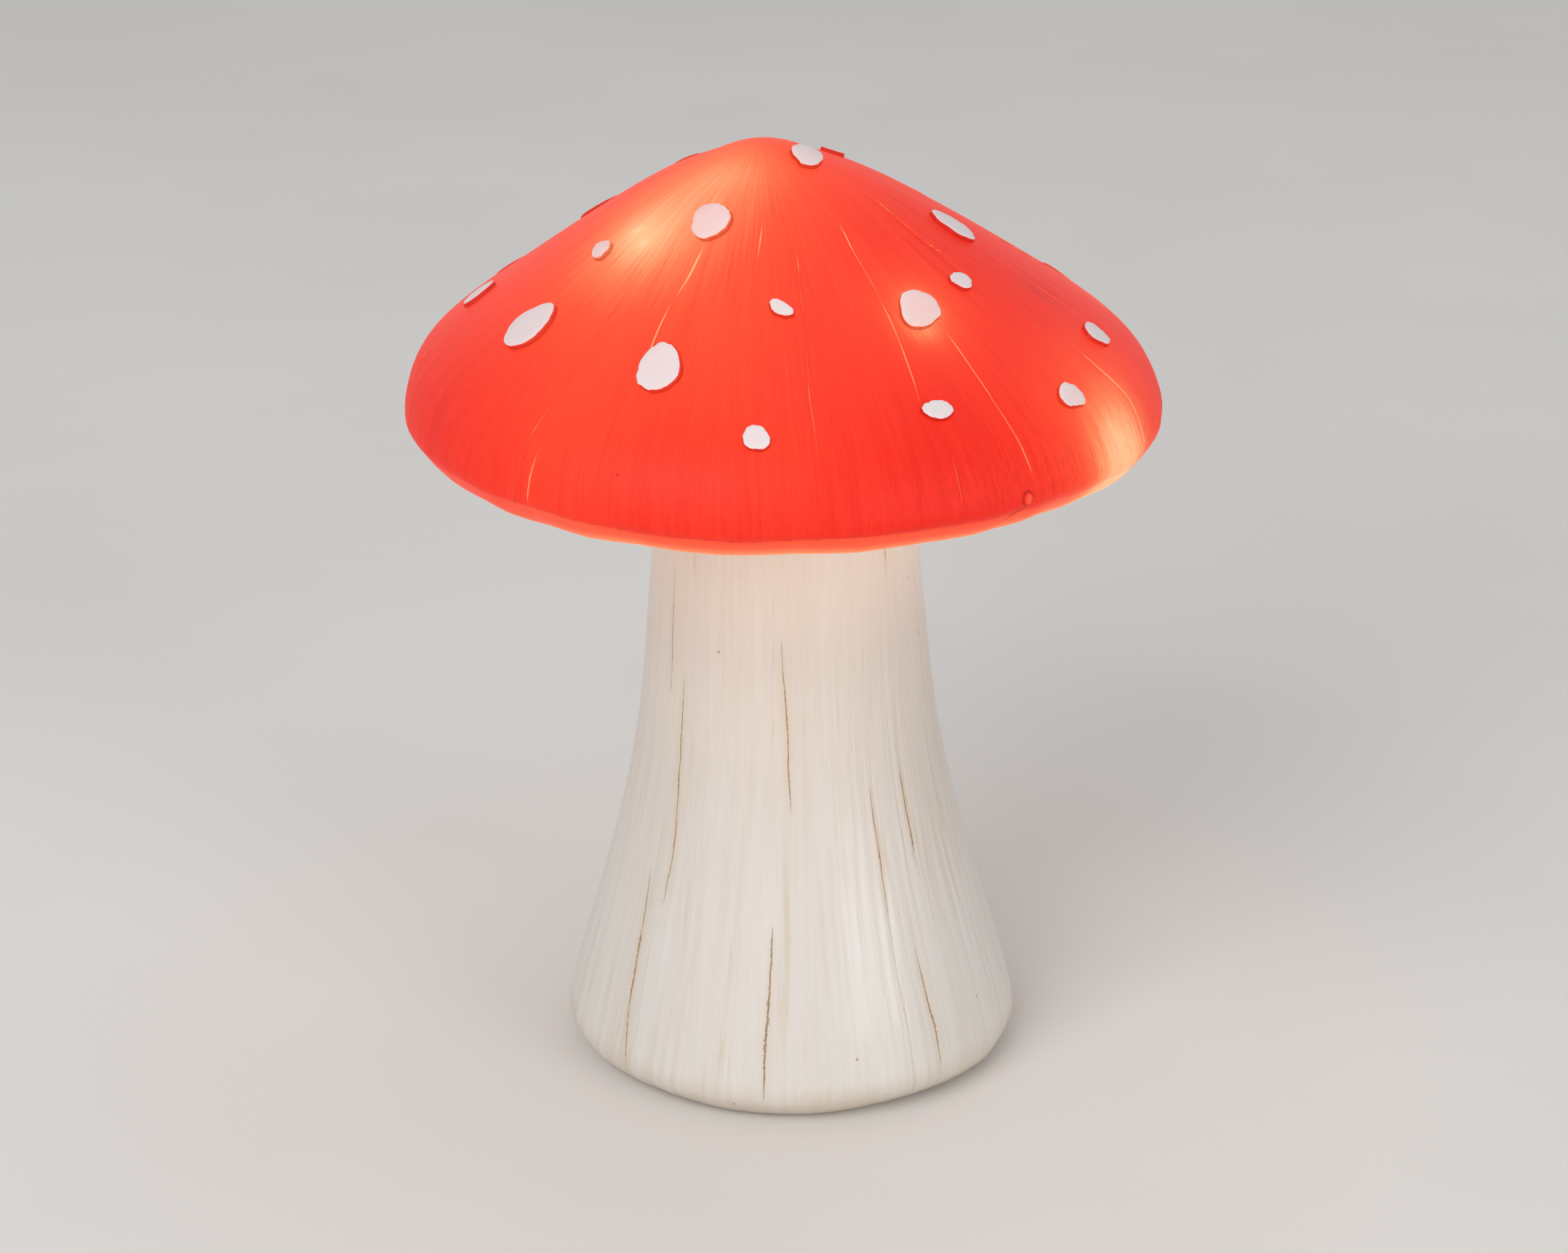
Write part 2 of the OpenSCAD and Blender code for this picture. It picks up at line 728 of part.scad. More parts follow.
// Base plate: a window for the cells, bosses for the lid's inserts and posts for the board
module base_plate() {
    color("gray")
        difference() {
            union() {
                translate([0, 0, plate_up])
                    cylinder(r = plate_r, h = plate_t);
                lid_screw_places(plate_up)
                    cylinder(r = insert_boss_r, h = insert_boss_h);
                board_post_places(plate_up)
                    cylinder(r = post_r, h = board_z - plate_up);
            }
            translate([box_x - bay_w / 2, -bay_l / 2, plate_up - cut_over])
                cube([bay_w, bay_l, plate_t + 2 * cut_over]);
            base_screw_places(plate_up - cut_over)
                cylinder(r = base_screw_r + slip + glue_gap, h = plate_t + 2 * cut_over);
            lid_screw_places(plate_up - cut_over)
                cylinder(r = insert_r + slip, h = insert_h + cut_over);
            board_post_places(board_top - small_l - rest_gap)
                cylinder(r = small_r + slip, h = small_l + cut_over);
            box_screw_places(plate_top + box_flange_t - small_l)
                cylinder(r = small_r + slip, h = small_l);
            knob_slot(plate_up - cut_over, plate_t + 2 * cut_over);
        }
}

// Rubber ring between the base plate and the ring in the foot
module base_seal() {
    color("dimgray")
        difference() {
            translate([0, 0, plate_top])
                cylinder(r = plate_r - rest_gap, h = seal_t);
            translate([0, 0, plate_top - cut_over])
                cylinder(r = ring_r + rest_gap, h = seal_t + 2 * cut_over);
            base_screw_places(plate_top - cut_over)
                cylinder(r = base_screw_r + slip + glue_gap, h = seal_t + 2 * cut_over);
        }
}

module base_screws() {
    color("silver")
        base_screw_places(plate_up)
            screw(base_screw_r, base_screw_l, base_screw_head_r, base_screw_head_h);
}

// Leads from the end contacts, over the box to the board
lead_sides = 8;
lead_steps = 3;
lead_clear = 6;
lead_rise = 6;
lead_out = bay_l / 2 + box_wall;
function lead_points(side, pad) =
    let (x = box_x - side * cell_pitch)
    [[x, side * (bay_l / 2 - slip), lead_z],
        [x, side * (lead_out - lead_r), lead_z],
        [x, side * (lead_out + 2 * lead_r), lead_z],
        [x + lead_clear, side * (lead_out + lead_clear), lead_z + lead_rise / 3],
        [(x + pad[0]) / 2, side * (lead_out + lead_clear), lead_z + lead_rise * 2 / 3],
        [pad[0] - lead_clear / 2, side * (board_l / 2 + lead_clear / 2), lead_z + lead_rise],
        pad + [0, 0, lead_rise],
        pad + [0, 0, 3 * lead_r],
        pad + [0, 0, glue_gap]];

module lead(side, pad, tint) {
    points = lead_points(side, pad);
    color(tint)
        wire(curve(points, 2 * points[0] - points[1], pad - [0, 0, lead_r], lead_steps),
            [0, 0, 1], lead_r, lead_sides);
}

// Lamps of the string: azimuth from the front, share of the cap's radius
lamp_shares = [
    [62, 0.94], [114, 0.92], [168, 0.9], [222, 0.87], [196, 0.6],
    [124, 0.5], [38, 0.6], [-36, 0.24], [-49, 0.45]];
led_l = 8.6;
led_gap = 0.5;
led_lip = 0.4;
led_lip_h = 1;
collar_w = 1.6;
collar_l = 4.5;
led_r = led_d / 2;
led_lift = -cap_wall - led_gap - led_l;

module string_lamps() {
    color("lightyellow")
        for (s = lamp_shares)
            on_cap(s[0], s[1], led_lift) {
                cylinder(r = led_r, h = led_l - led_r);
                translate([0, 0, led_l - led_r])
                    sphere(r = led_r);
                cylinder(r = led_r + led_lip, h = led_lip_h);
            }
}

// Collars glued to the inside of the cap, which hold the lamps
module lamp_collars() {
    color("whitesmoke")
        for (s = lamp_shares)
            on_cap(s[0], s[1], -cap_wall - led_gap - collar_l)
                difference() {
                    cylinder(r = led_r + collar_w, h = collar_l);
                    translate([0, 0, -cut_over])
                        cylinder(r = led_r + slip, h = collar_l + 2 * cut_over);
                }
}

// Wire of the string: up the stem, through the grommet, over the underside and past each lamp
wire_sides = 8;
wire_steps = 3;
wire_span_steps = 7;
rise_shares = [[0.9, 0.16], [0.6, 0.38], [0.25, 0.66]];
floor_shares = [0.26, 0.52, 0.8];
wire_r = wire_d / 2;
wire_lift = led_lift - wire_r - rest_gap;
string_pad = on_board(string_shares, glue_gap);
first_way = [sin(lamp_shares[0][0]), -cos(lamp_shares[0][0]), 0];
grommet_top = stem_z + under_t + grommet_lip_t;
rise_points = [for (s = rise_shares) [s[0] * string_pad[0], s[0] * string_pad[1], s[1] * stem_z]];
floor_points = [for (s = floor_shares)
    s * under_r * first_way + [0, 0, under_z(s * under_r) + under_t + 2 * wire_d]];
stem_run = concat(
    [string_pad, string_pad + [0, 0, wire_d], string_pad + [0, 0, 3 * wire_d]],
    rise_points,
    [[0, 0, stem_z - 6 * wire_d], [0, 0, stem_z - 2 * wire_d], [0, 0, grommet_top + wire_d / 2],
        [0, 0, grommet_top + 3 * wire_d], 3 * wire_d * first_way + [0, 0, grommet_top + 6 * wire_d]],
    [floor_points[0] + [0, 0, 4 * wire_d], floor_points[1], floor_points[2]]);
lamp_run = [for (i = [0:len(lamp_shares) - 2])
    for (k = [0:wire_span_steps - 1])
        let (s = lamp_shares[i] + k / wire_span_steps * (lamp_shares[i + 1] - lamp_shares[i]))
        cap_point(s[0], s[1], wire_lift)];
lamp_end = cap_point(last(lamp_shares)[0], last(lamp_shares)[1], wire_lift);

module string_wire() {
    color("white")
        wire(concat(curve(stem_run, string_pad - [0, 0, wire_d], lamp_run[0], wire_steps), lamp_run, [lamp_end]),
            [1, 0, 0], wire_r, wire_sides);
}

cap_shell();
cap_spots();
cap_underside();
cap_screws();
cap_washers();
stem_shell();
wire_grommet();
base_plate();
base_seal();
base_screws();
battery_box();
box_screws();
battery(0);  // battery_left
battery(1);  // battery_middle
battery(2);  // battery_right
contact_plates();
contact_springs();
battery_lid();
lid_seal();
lid_screw(-1);  // lid_screw_front
lid_screw(1);  // lid_screw_back
lid_inserts();
switch_body();
switch_knob();
timer_board();
board_chip();
board_capacitor();
board_resistors();
board_screws();
lead(1, on_board(red_shares), "red");  // lead_red
lead(-1, on_board(black_shares), "black");  // lead_black
string_wire();
string_lamps();
lamp_collars();
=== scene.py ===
# Mushroom lamp, lit from inside: two brushed resin castings on a foot that holds the cells.

import math
from functools import partial

import bmesh
import bpy
import numpy as np
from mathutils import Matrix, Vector


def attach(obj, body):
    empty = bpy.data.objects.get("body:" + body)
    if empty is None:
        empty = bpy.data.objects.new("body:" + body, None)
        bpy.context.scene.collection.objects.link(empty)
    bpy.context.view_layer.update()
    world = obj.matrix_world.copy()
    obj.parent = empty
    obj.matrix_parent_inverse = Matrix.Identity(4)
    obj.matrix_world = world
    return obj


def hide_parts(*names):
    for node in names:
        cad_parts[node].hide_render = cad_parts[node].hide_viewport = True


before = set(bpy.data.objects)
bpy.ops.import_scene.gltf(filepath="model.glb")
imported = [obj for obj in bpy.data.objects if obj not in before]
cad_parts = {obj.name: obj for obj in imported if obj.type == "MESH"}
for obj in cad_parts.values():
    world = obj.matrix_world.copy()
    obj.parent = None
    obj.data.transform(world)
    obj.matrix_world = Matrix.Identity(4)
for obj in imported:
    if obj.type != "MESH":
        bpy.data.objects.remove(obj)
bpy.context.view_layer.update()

# Cap: one hollow casting in translucent red polyester resin, glued over its underside.
# Tinted lacquer was brushed on from the tip down, which left fine strokes and a few long raised runs,
# and the mould's halves met along the rolled rim, where a thin flash line still shows.
mm = 0.001
lamp_h = 365 * mm
cap_r = 142.5 * mm
dome_h = 98 * mm
rim_drop = 16.5 * mm
rim_roll = 21.5 * mm
cap_wall = 4.5 * mm
wide_z = lamp_h - dome_h
rim_z = wide_z - rim_drop
mouth_r = cap_r - rim_roll
dome_shares = [
    (0, 0), (0.17, 0.062), (0.34, 0.192), (0.52, 0.358), (0.7, 0.535), (0.86, 0.7), (0.955, 0.835), (1, 1)]
rim_shares = [(0.15, 0.46), (0.53, 0.9), (0.79, 1), (1, 1)]
# The casting isn't quite round: its tip leans left and is drawn in a little, and its edge is wavy
tip_shift = -7.5 * mm
tip_pinch = 1.2 * mm
pinch_r, pinch_w = 24 * mm, 14 * mm
edge_wave = 0.5 * mm
side_swell = 0.6 * mm
# Flats along the rim where it was fettled by hand: azimuth in degrees and rise in mm
flats = [
    (-100, 0), (-75, -1.1), (-62, -1.7), (-55, -0.7), (-48, -1.2), (-40, -0.3), (-32, -1), (-23, -0.1),
    (-15, -0.8), (-8, -0.7), (2, 0.2), (12, -0.4), (22, 0.7), (31, 0.3), (35, 0.9), (40, 0.7), (44, 1.3),
    (48, 0.6), (56, 0.2), (64, -1.9), (72, -1.5), (80, -2.2), (100, 0), (118, -0.6), (130, 0.5), (147, -0.7),
    (160, 0.4), (171, -0.5), (180, 0)]


def smooth(points, before, after, steps=16):
    """Smooth line through points, as in the solids, its ends turned by the points before and after"""
    p = np.array([before, *points, after], float)
    t = np.linspace(0, 1, steps, endpoint=False)[:, None]
    runs = [
        (2 * b + (c - a) * t + (2 * a - 5 * b + 4 * c - d) * t**2 + (3 * b - a - 3 * c + d) * t**3) / 2
        for a, b, c, d in zip(p, p[1:], p[2:], p[3:])]
    return np.vstack([*runs, p[-2:-1]])


def way(line):
    """Share of the line's length at each of its points"""
    steps = np.linalg.norm(np.diff(line, axis=0), axis=1)
    return np.concatenate([[0], np.cumsum(steps)]) / steps.sum()


def along(line, share):
    """Points of a line at shares of its length"""
    return np.stack([np.interp(share, way(line), column) for column in line.T], axis=-1)


def fade(value, low, high):
    """Soft step from 0 at low to 1 at high"""
    t = np.clip((value - low) / (high - low), 0, 1)
    return t * t * (3 - 2 * t)


def patches(turn, down, round_count, down_count, seed):
    """Smooth random relief from -1 to 1 that closes round the axis; down runs from 0 to 1"""
    grid = np.random.default_rng(seed).uniform(-1, 1, (round_count, down_count + 2))
    a, b = np.broadcast_arrays(turn / math.tau * round_count, np.clip(down, 0, 1) * down_count)
    i, j = np.floor(a).astype(int), np.floor(b).astype(int)
    s, t = a - i, b - j
    s, t = s * s * (3 - 2 * s), t * t * (3 - 2 * t)
    near, far = grid[i % round_count, j], grid[(i + 1) % round_count, j]
    near_low, far_low = grid[i % round_count, j + 1], grid[(i + 1) % round_count, j + 1]
    return (1 - t) * ((1 - s) * near + s * far) + t * ((1 - s) * near_low + s * far_low)


dome = [(s * cap_r, lamp_h - t * dome_h) for s, t in dome_shares]
rim = [(cap_r - s * rim_roll, wide_z - t * rim_drop) for s, t in rim_shares]
cap_line = smooth(dome + rim, (-dome[1][0], dome[1][1]), (mouth_r - cap_wall, rim_z))
cap_run = np.linalg.norm(np.diff(cap_line, axis=0), axis=1).sum()


def wrapped(angle):
    """The same angle between minus and plus half a turn"""
    return (angle + math.pi) % math.tau - math.pi


def azimuth(turn):
    """Angle from the front in degrees, from -180 to 180"""
    return np.degrees(wrapped(turn))


def by_azimuth(turn, table):
    """Value at each place from a table of azimuths in degrees and values"""
    return np.interp(azimuth(turn), *np.array(table).T)


def around(turn, r, z, shift=0):
    """Points round the lamp's axis at angles from the front"""
    return np.stack(np.broadcast_arrays(r * np.sin(turn) + shift, -r * np.cos(turn), z), axis=-1)


def cap_form(turn, down):
    """The cap's outside without its fine relief, by azimuth and share of the way down to the mouth"""
    turn, down = np.broadcast_arrays(turn, down)
    r, z = np.moveaxis(along(cap_line, down), -1, 0)
    up = np.clip((z - wide_z) / dome_h, 0, 1)
    edge = fade(down, 0.7, 0.9)
    r = r + edge_wave * edge * (patches(turn, down, 22, 1, 3) + 0.6 * patches(turn, down, 47, 1, 4))
    z = z + side_swell * np.sin(turn) * np.sin(math.pi * up) ** 2
    z = z - tip_pinch * np.exp(-(((r - pinch_r) / pinch_w) ** 2)) * fade(r, 0, pinch_r)
    z = z + fade(down, 0.8, 0.93) * by_azimuth(turn, flats) * mm
    return around(turn, r, z, tip_shift * up)


def outward(form, turn, down, step=0.002):
    """Unit normals of a form, out of the piece"""
    across = form(turn + step, down) - form(turn - step, down)
    fall = form(turn, np.minimum(down + step, 1)) - form(turn, np.maximum(down - step, step))
    n = np.cross(fall, across)
    return n / np.maximum(np.linalg.norm(n, axis=-1, keepdims=True), 1e-12)


# Runs of lacquer: width in mm, then azimuth in degrees and share of the way to the mouth
runs = [
    (1.2, (-23.2, 0.3), (-24, 0.375), (-25.6, 0.432), (-26.2, 0.486), (-26, 0.56)),
    (0.9, (-1.8, 0.24), (-2.8, 0.283), (-3.7, 0.328), (-4.5, 0.37)),
    (1, (9.8, 0.31), (8.2, 0.391), (7.3, 0.488), (6.5, 0.559), (5.8, 0.631), (5.8, 0.75)),
    (1, (31.8, 0.24), (29.2, 0.323), (28.8, 0.402), (28.2, 0.462), (27.2, 0.529), (24.8, 0.66)),
    (1, (39.2, 0.52), (38.5, 0.607), (38, 0.684), (38, 0.737), (38.2, 0.785), (38.5, 0.83)),
    (0.7, (62.8, 0.2), (59.8, 0.279), (58.8, 0.345), (61.8, 0.4)),
    (1.3, (26.3, 0.75), (26, 0.798), (25.8, 0.85)),
    (0.9, (65.8, 0.64), (66.5, 0.718), (67.5, 0.778), (67.5, 0.86)),
    (0.9, (-39.8, 0.69), (-40.8, 0.781), (-41.5, 0.818), (-41.8, 0.868), (-42.2, 0.9)),
    (1.2, (-38.2, 0.77), (-38.8, 0.83), (-39, 0.88)),
    (0.9, (103, 0.42), (104, 0.5), (106, 0.62)), (1.1, (148, 0.4), (147, 0.55), (148, 0.68)),
    (0.9, (171, 0.3), (170, 0.42), (172, 0.5)), (1.2, (-152, 0.5), (-150, 0.62), (-150, 0.75)),
    (0.8, (-118, 0.35), (-119, 0.5), (-121, 0.58)), (1.1, (-84, 0.66), (-83, 0.75), (-84, 0.83)),
    (1, (126, 0.72), (127, 0.8), (126, 0.86)), (1, (-171, 0.74), (-172, 0.82), (-171, 0.87))]
run_h = 0.45 * mm
# Flash line along the front of the rim: azimuth in degrees and share of the way
flash_line = [
    (-60, 0.876), (-43, 0.878), (-35, 0.877), (-21.5, 0.891), (-12, 0.888), (-6, 0.892), (9, 0.884),
    (30, 0.889)]
flash_h = 0.45 * mm
flash_w = 3.6
# How thin the lacquer is under the flash line: azimuth in degrees and share
strip_shares = [(-180, 0.6), (-100, 0.4), (-45, 0.45), (-28, 0.95), (70, 1), (180, 0.6)]
# A bubble that set in the lacquer, and the smear under it
bubble = (36.8, 0.861)
bubble_r = 2.1 * mm
bubble_h = 1.2 * mm
smear_w = 2.2 * mm
smear_l = 3.2 * mm
smear_fall = 6.5 * mm
smear_h = 0.5 * mm
stroke_h = 0.04 * mm
groove_h = 0.26 * mm


def across_cap(turn, down, az):
    """Distance sideways on the cap from an azimuth in degrees"""
    return wrapped(turn - np.radians(az)) * np.maximum(along(cap_line, down)[..., 0], mm)


def nearest_run(turn, down):
    """Distance sideways from the nearest run of lacquer in widths of it, and how clearly the run shows"""
    shape = np.broadcast(turn, down).shape
    near, clear = np.full(shape, 9.0), np.zeros(shape)
    for width, *points in runs:
        az, at = np.array(points).T
        side = across_cap(turn, down, np.interp(down, at, az)) / (width * mm)
        taper = fade(down, at[0], at[0] + 0.05) * (1 - fade(down, at[-1] - 0.03, at[-1]))
        closer = (np.abs(side) < np.abs(near)) & (taper > 0)
        near, clear = np.where(closer, side, near), np.where(closer, taper, clear)
    return near, clear * (1 - fade(np.abs(near), 2, 3))


def below_flash(turn, down):
    """How far below the flash line in mm, and how clearly the line shows there"""
    az = azimuth(turn)
    return (down - by_azimuth(turn, flash_line)) * cap_run / mm, fade(az, -60, -45) * (1 - fade(az, 12, 28))


def from_bubble(turn, down):
    """Distance from the bubble, and how much of the smear under it and of its rubbed edge lies there"""
    side, fall = across_cap(turn, down, bubble[0]), (down - bubble[1]) * cap_run
    slant = (side + 0.8 * (fall - bubble_r)) / smear_w
    reach = ((fall - smear_fall) / smear_l) ** 2
    smear, rubbed = np.exp(-(slant**2) - reach), np.exp(-(((slant - 1.3) / 0.45) ** 2) - reach)
    return np.hypot(side * 1.1, fall * 0.9), smear, rubbed


def tick_band(turn, down):
    """Where the short upright cuts of the lower edge lie"""
    uneven = 0.6 + 0.4 * patches(turn, down, 9, 1, 14)
    return fade(down, 0.72, 0.8) * (1 - fade(down, 0.855, 0.885)) * uneven


def cap_relief(turn, down):
    spread = fade(down, 0.02, 0.25)
    relief = stroke_h * spread * (patches(turn, down, 130, 5, 11) + 0.7 * patches(turn, down, 230, 7, 12))
    notch = np.clip(patches(turn, down, 236, 8, 13) + 0.5 * patches(turn, down, 330, 12, 15), -1, 0.25)
    relief += groove_h * tick_band(turn, down) * notch
    near, clear = nearest_run(turn, down)
    relief += run_h * clear * np.exp(-((near / 0.35) ** 2))
    past, clear = below_flash(turn, down)
    relief += flash_h * clear * (past < 0) * np.exp(past / flash_w)
    gap, smear, _ = from_bubble(turn, down)
    return relief + bubble_h * np.sqrt(np.clip(1 - (gap / bubble_r) ** 2, 0, 1)) - smear_h * smear


def skin(form, relief, turn, down):
    """A form with its fine relief"""
    return form(turn, down) + outward(form, turn, down) * relief(turn, down)[..., None]


def columns(count, lines, margin, *spans):
    """Azimuths round the piece, closer together along lines and over spans in degrees"""
    spans += tuple((min(a for a, _ in p) - margin, max(a for a, _ in p) + margin) for _, *p in lines)
    extra = [np.arange(low, high, 0.2) for low, high in spans]
    return np.radians(np.unique(np.round(np.concatenate([np.arange(count) * 360 / count - 180, *extra]), 3)))


def solid(name, points, faces, rounded=True):
    """A new object at the origin"""
    mesh = bpy.data.meshes.new(name)
    mesh.from_pydata(np.asarray(points).tolist(), [], faces)
    if rounded:
        mesh.shade_smooth()
    piece = bpy.data.objects.new(name, mesh)
    bpy.context.collection.objects.link(piece)
    return piece


def lathe(name, rings, poles=()):
    """A closed mesh through rings that run down the outside and back up the inside, from pole to pole"""
    count, n, _ = rings.shape
    points = np.vstack([rings.reshape(-1, 3), *poles])
    faces = [
        (i * n + j, (i + 1) % count * n + j, (i + 1) % count * n + (j + 1) % n, i * n + (j + 1) % n)
        for i in range(count - bool(poles)) for j in range(n)]
    if poles:
        top, end, last = len(points) - 2, len(points) - 1, (count - 1) * n
        faces += [(top, a, (a + 1) % n) for a in range(n)]
        faces += [(last + a, end, last + (a + 1) % n) for a in range(n)]
    return solid(name, points, faces)


def tube(rings, n):
    """Four-sided faces between rings of n points"""
    return [
        (low + k, low + (k + 1) % n, low + n + (k + 1) % n, low + n + k)
        for low in range(0, (rings - 1) * n, n) for k in range(n)]


def mark(mesh, name, values):
    """Keeps a number or a vector for each point, for the materials to read"""
    values = np.asarray(values, np.float32)
    kind, field = ("FLOAT", "value") if values.ndim == 1 else ("FLOAT_VECTOR", "vector")
    mesh.attributes.new(name, kind, "POINT").data.foreach_set(field, values.ravel())


# Light behind the wall: azimuth in degrees, share of the way to the mouth, depth in mm, and power.
# A shallow one is a lamp close to the wall, and a deep one is light that the cap's inside scatters.
lights = [
    (-55, 0.305, 2.2, 0.2), (-47.5, 0.325, 2.2, 0.2), (-51, 0.318, 12, 0.13), (-51, 0.318, 18, 0.07),
    (-47, 0.3, 40, 0.49), (-30, 0.107, 26, 0.32), (-38, 0.175, 26, 0.04), (38, 0.465, 12, 0.42),
    (34, 0.514, 9, 0.34), (61, 0.84, 21, 0.42), (57, 0.8, 21, 0.3), (66, 0.75, 18, 0.14),
    (55, 0.87, 12, 0.26), (62, 0.89, 10, 0.22), (67, 0.86, 9, 0.12),
    (-10, 0.514, 40, 0.07), (-35, 0.793, 40, 0.07), (0, 0.745, 40, 0.06), (-35, 0.631, 40, 0.05),
    (-60, 0.465, 40, 0.03), (114, 0.735, 18, 0.5), (110, 0.8, 14, 0.3), (168, 0.717, 20, 0.5),
    (-138, 0.69, 20, 0.5), (-164, 0.465, 12, 0.6), (124, 0.382, 10, 0.6), (-150, 0.4, 40, 0.15),
    (150, 0.6, 40, 0.15), (-100, 0.6, 40, 0.06)]
bubble_glow = 0.24
rubbed_glow = 0.14
down_at = way(cap_line)[:np.argmax(cap_line[:, 0]) + 1]
radius_at = cap_line[:np.argmax(cap_line[:, 0]) + 1, 0]


def glow(points):
    """Light that the lamps throw on the wall, which falls off with distance and slant"""
    total = np.zeros(points.shape[:-1])
    for az, down, depth, power in lights:
        gap = np.linalg.norm(points - cap_form(math.radians(az), down), axis=-1) / mm
        total += power * depth**3 / (depth**2 + gap**2) ** 1.5
    return total


def mark_cap(mesh, turn, down, points, dark=None):
    """What the lacquer needs at each point: its place in the strokes, run, seam, light, dirt and painted
    shade
    """
    past, clear = below_flash(turn, down)
    gap, smear, rubbed = from_bubble(turn, down)
    ring = np.exp(-(((gap - 1.15 * bubble_r) / (0.2 * bubble_r)) ** 2))
    mark(mesh, "fan", around(turn, 1, down * cap_run / cap_r))
    mark(mesh, "run", np.stack([*nearest_run(turn, down), tick_band(turn, down)], axis=-1))
    brushed = 1.1 - 0.7 * fade(down, 0.35, 0.6) + 0.3 * tick_band(turn, down)
    mark(mesh, "seam", np.stack([past, clear, brushed], axis=-1))
    thin = by_azimuth(turn, strip_shares)
    mark(mesh, "strip", thin * (0.35 * fade(past, -0.8, 2.4) + 0.65 * fade(down, 0.905, 0.965)))
    local_glow = bubble_glow * (1 - fade(gap, 0.5 * bubble_r, bubble_r)) + rubbed_glow * rubbed
    mark(mesh, "glow", glow(points) + local_glow)
    # Darker: a ring round the bubble and the smear under it, or what is given instead, such as the spots'
    # painted shade
    mark(mesh, "dirt_and_shade", np.maximum(0.75 * ring, 0.5 * smear) if dark is None else dark)


cap_turn = columns(520, runs[:10], 0.6, (bubble[0] - 2.2, bubble[0] + 1.6))
cap_down = np.unique(np.round(np.concatenate([
    np.linspace(0.006, 1, 76), np.linspace(0.29, 0.345, 10), np.linspace(0.845, 0.915, 30)]), 4))
turn, down = np.meshgrid(cap_turn, cap_down)
outer = skin(cap_form, cap_relief, turn, down)
inner_turn, inner_down = np.meshgrid(cap_turn, np.linspace(1, 0.03, 12))
inner = cap_form(inner_turn, inner_down) - outward(cap_form, inner_turn, inner_down) * cap_wall
inner[0] = outer[-1] + [0, 0, cap_wall]
tip = cap_form(0.0, 0.0)
cap = lathe("cap", np.concatenate([outer, inner]), [tip, tip - [0, 0, cap_wall]])
turns, downs = [
    np.concatenate([a.ravel(), b.ravel(), [0, 0]]) for a, b in ((turn, inner_turn), (down, inner_down))]
mark_cap(cap.data, turns, downs, np.vstack([outer.reshape(-1, 3), inner.reshape(-1, 3), tip, tip]))


def colour(code):
    """Linear colour of an sRGB hex code"""
    parts = [int(code[k:k + 2], 16) / 255 for k in (1, 3, 5)]
    return [c / 12.92 if c <= 0.04045 else ((c + 0.055) / 1.055) ** 2.4 for c in parts] + [1.0]


def plug(socket, value):
    """Sets a socket to a value, or links it to a socket or to a node's first output"""
    if isinstance(value, bpy.types.Node):
        value = next(s for s in value.outputs if s.enabled)
    if isinstance(value, bpy.types.NodeSocket):
        socket.id_data.links.new(value, socket)
    else:
        socket.default_value = value


def feed(node, **values):
    """Gives values to a node's sockets, with an underscore for each space in a socket's name"""
    for name, value in values.items():
        plug(next(s for s in node.inputs if s.enabled and s.name == name.replace("_", " ")), value)


def add_node(tree, kind, *values, stops=(), **named):
    """Adds a node, its operation written behind a dot and a ramp's stops as places and colours.
    Values go to its sockets in order, and named ones to settings or, if capitalised, to sockets."""
    kind, _, operation = kind.partition(".")
    node = tree.nodes.new(kind if kind.startswith("GeometryNode") else "ShaderNode" + kind)
    if operation:
        node.operation = operation
    for name, value in named.items():
        if name.islower():
            setattr(node, name, value)
    for socket, value in zip([s for s in node.inputs if s.enabled], values):
        plug(socket, value)
    feed(node, **{name: value for name, value in named.items() if not name.islower()})
    for k, (place, code) in enumerate(stops):
        ramp = node.color_ramp.elements
        stop = ramp[k] if k < 2 else ramp.new(place)
        stop.position = place
        stop.color = colour(code)
    return node


def finish(name, **same):
    """A new material with what is the same all over, a way to add nodes to it, its shader and the place"""
    material = bpy.data.materials.new(name)
    material.use_nodes = True
    shader = material.node_tree.nodes["Principled BSDF"]
    feed(shader, **same)
    add = partial(add_node, material.node_tree)
    return material, add, shader, add("TexCoord").outputs["Object"]


# Brushed tinted lacquer on polyester resin: a deep red that is nearly matt, because the fine strokes of the
# brush scatter its gloss. Lit from inside it turns scarlet, and orange to pale yellow where a lamp is close.
stroke_w = 6 * mm
hair_w = 1.1 * mm
cut_w = 0.9 * mm
nick_far = 36 * mm
scuff_at = tuple(cap_form(math.radians(80), 0.55))
scuff_r = 5 * mm, 13 * mm
brush_depth = 0.4 * mm
lacquer, add, shader, place = finish(
    "brushed red lacquer on cast resin", Roughness=0.45, IOR=1.5, Specular_IOR_Level=0.14,
    Emission_Strength=1)
fan, run_at, seam_at = [
    add("Attribute", attribute_name=name).outputs["Vector"] for name in ("fan", "run", "seam")]
run_at, seam_at = add("SeparateXYZ", run_at).outputs, add("SeparateXYZ", seam_at).outputs
dirt_and_shade, strip_mark, light = [
    add("Attribute", attribute_name=name).outputs["Fac"] for name in ("dirt_and_shade", "strip", "glow")]
strokes, hairs, cuts = [
    add("TexNoise", Vector=add("Mapping", Vector=fan, Scale=(1, 1, stretch)), Scale=cap_r / width,
        Detail=detail, Roughness=rough)
    for stretch, width, detail, rough in (
        (0.06, stroke_w, 4, 0.6), (0.035, hair_w, 3, 0.65), (0.22, cut_w, 2, 0.5))]
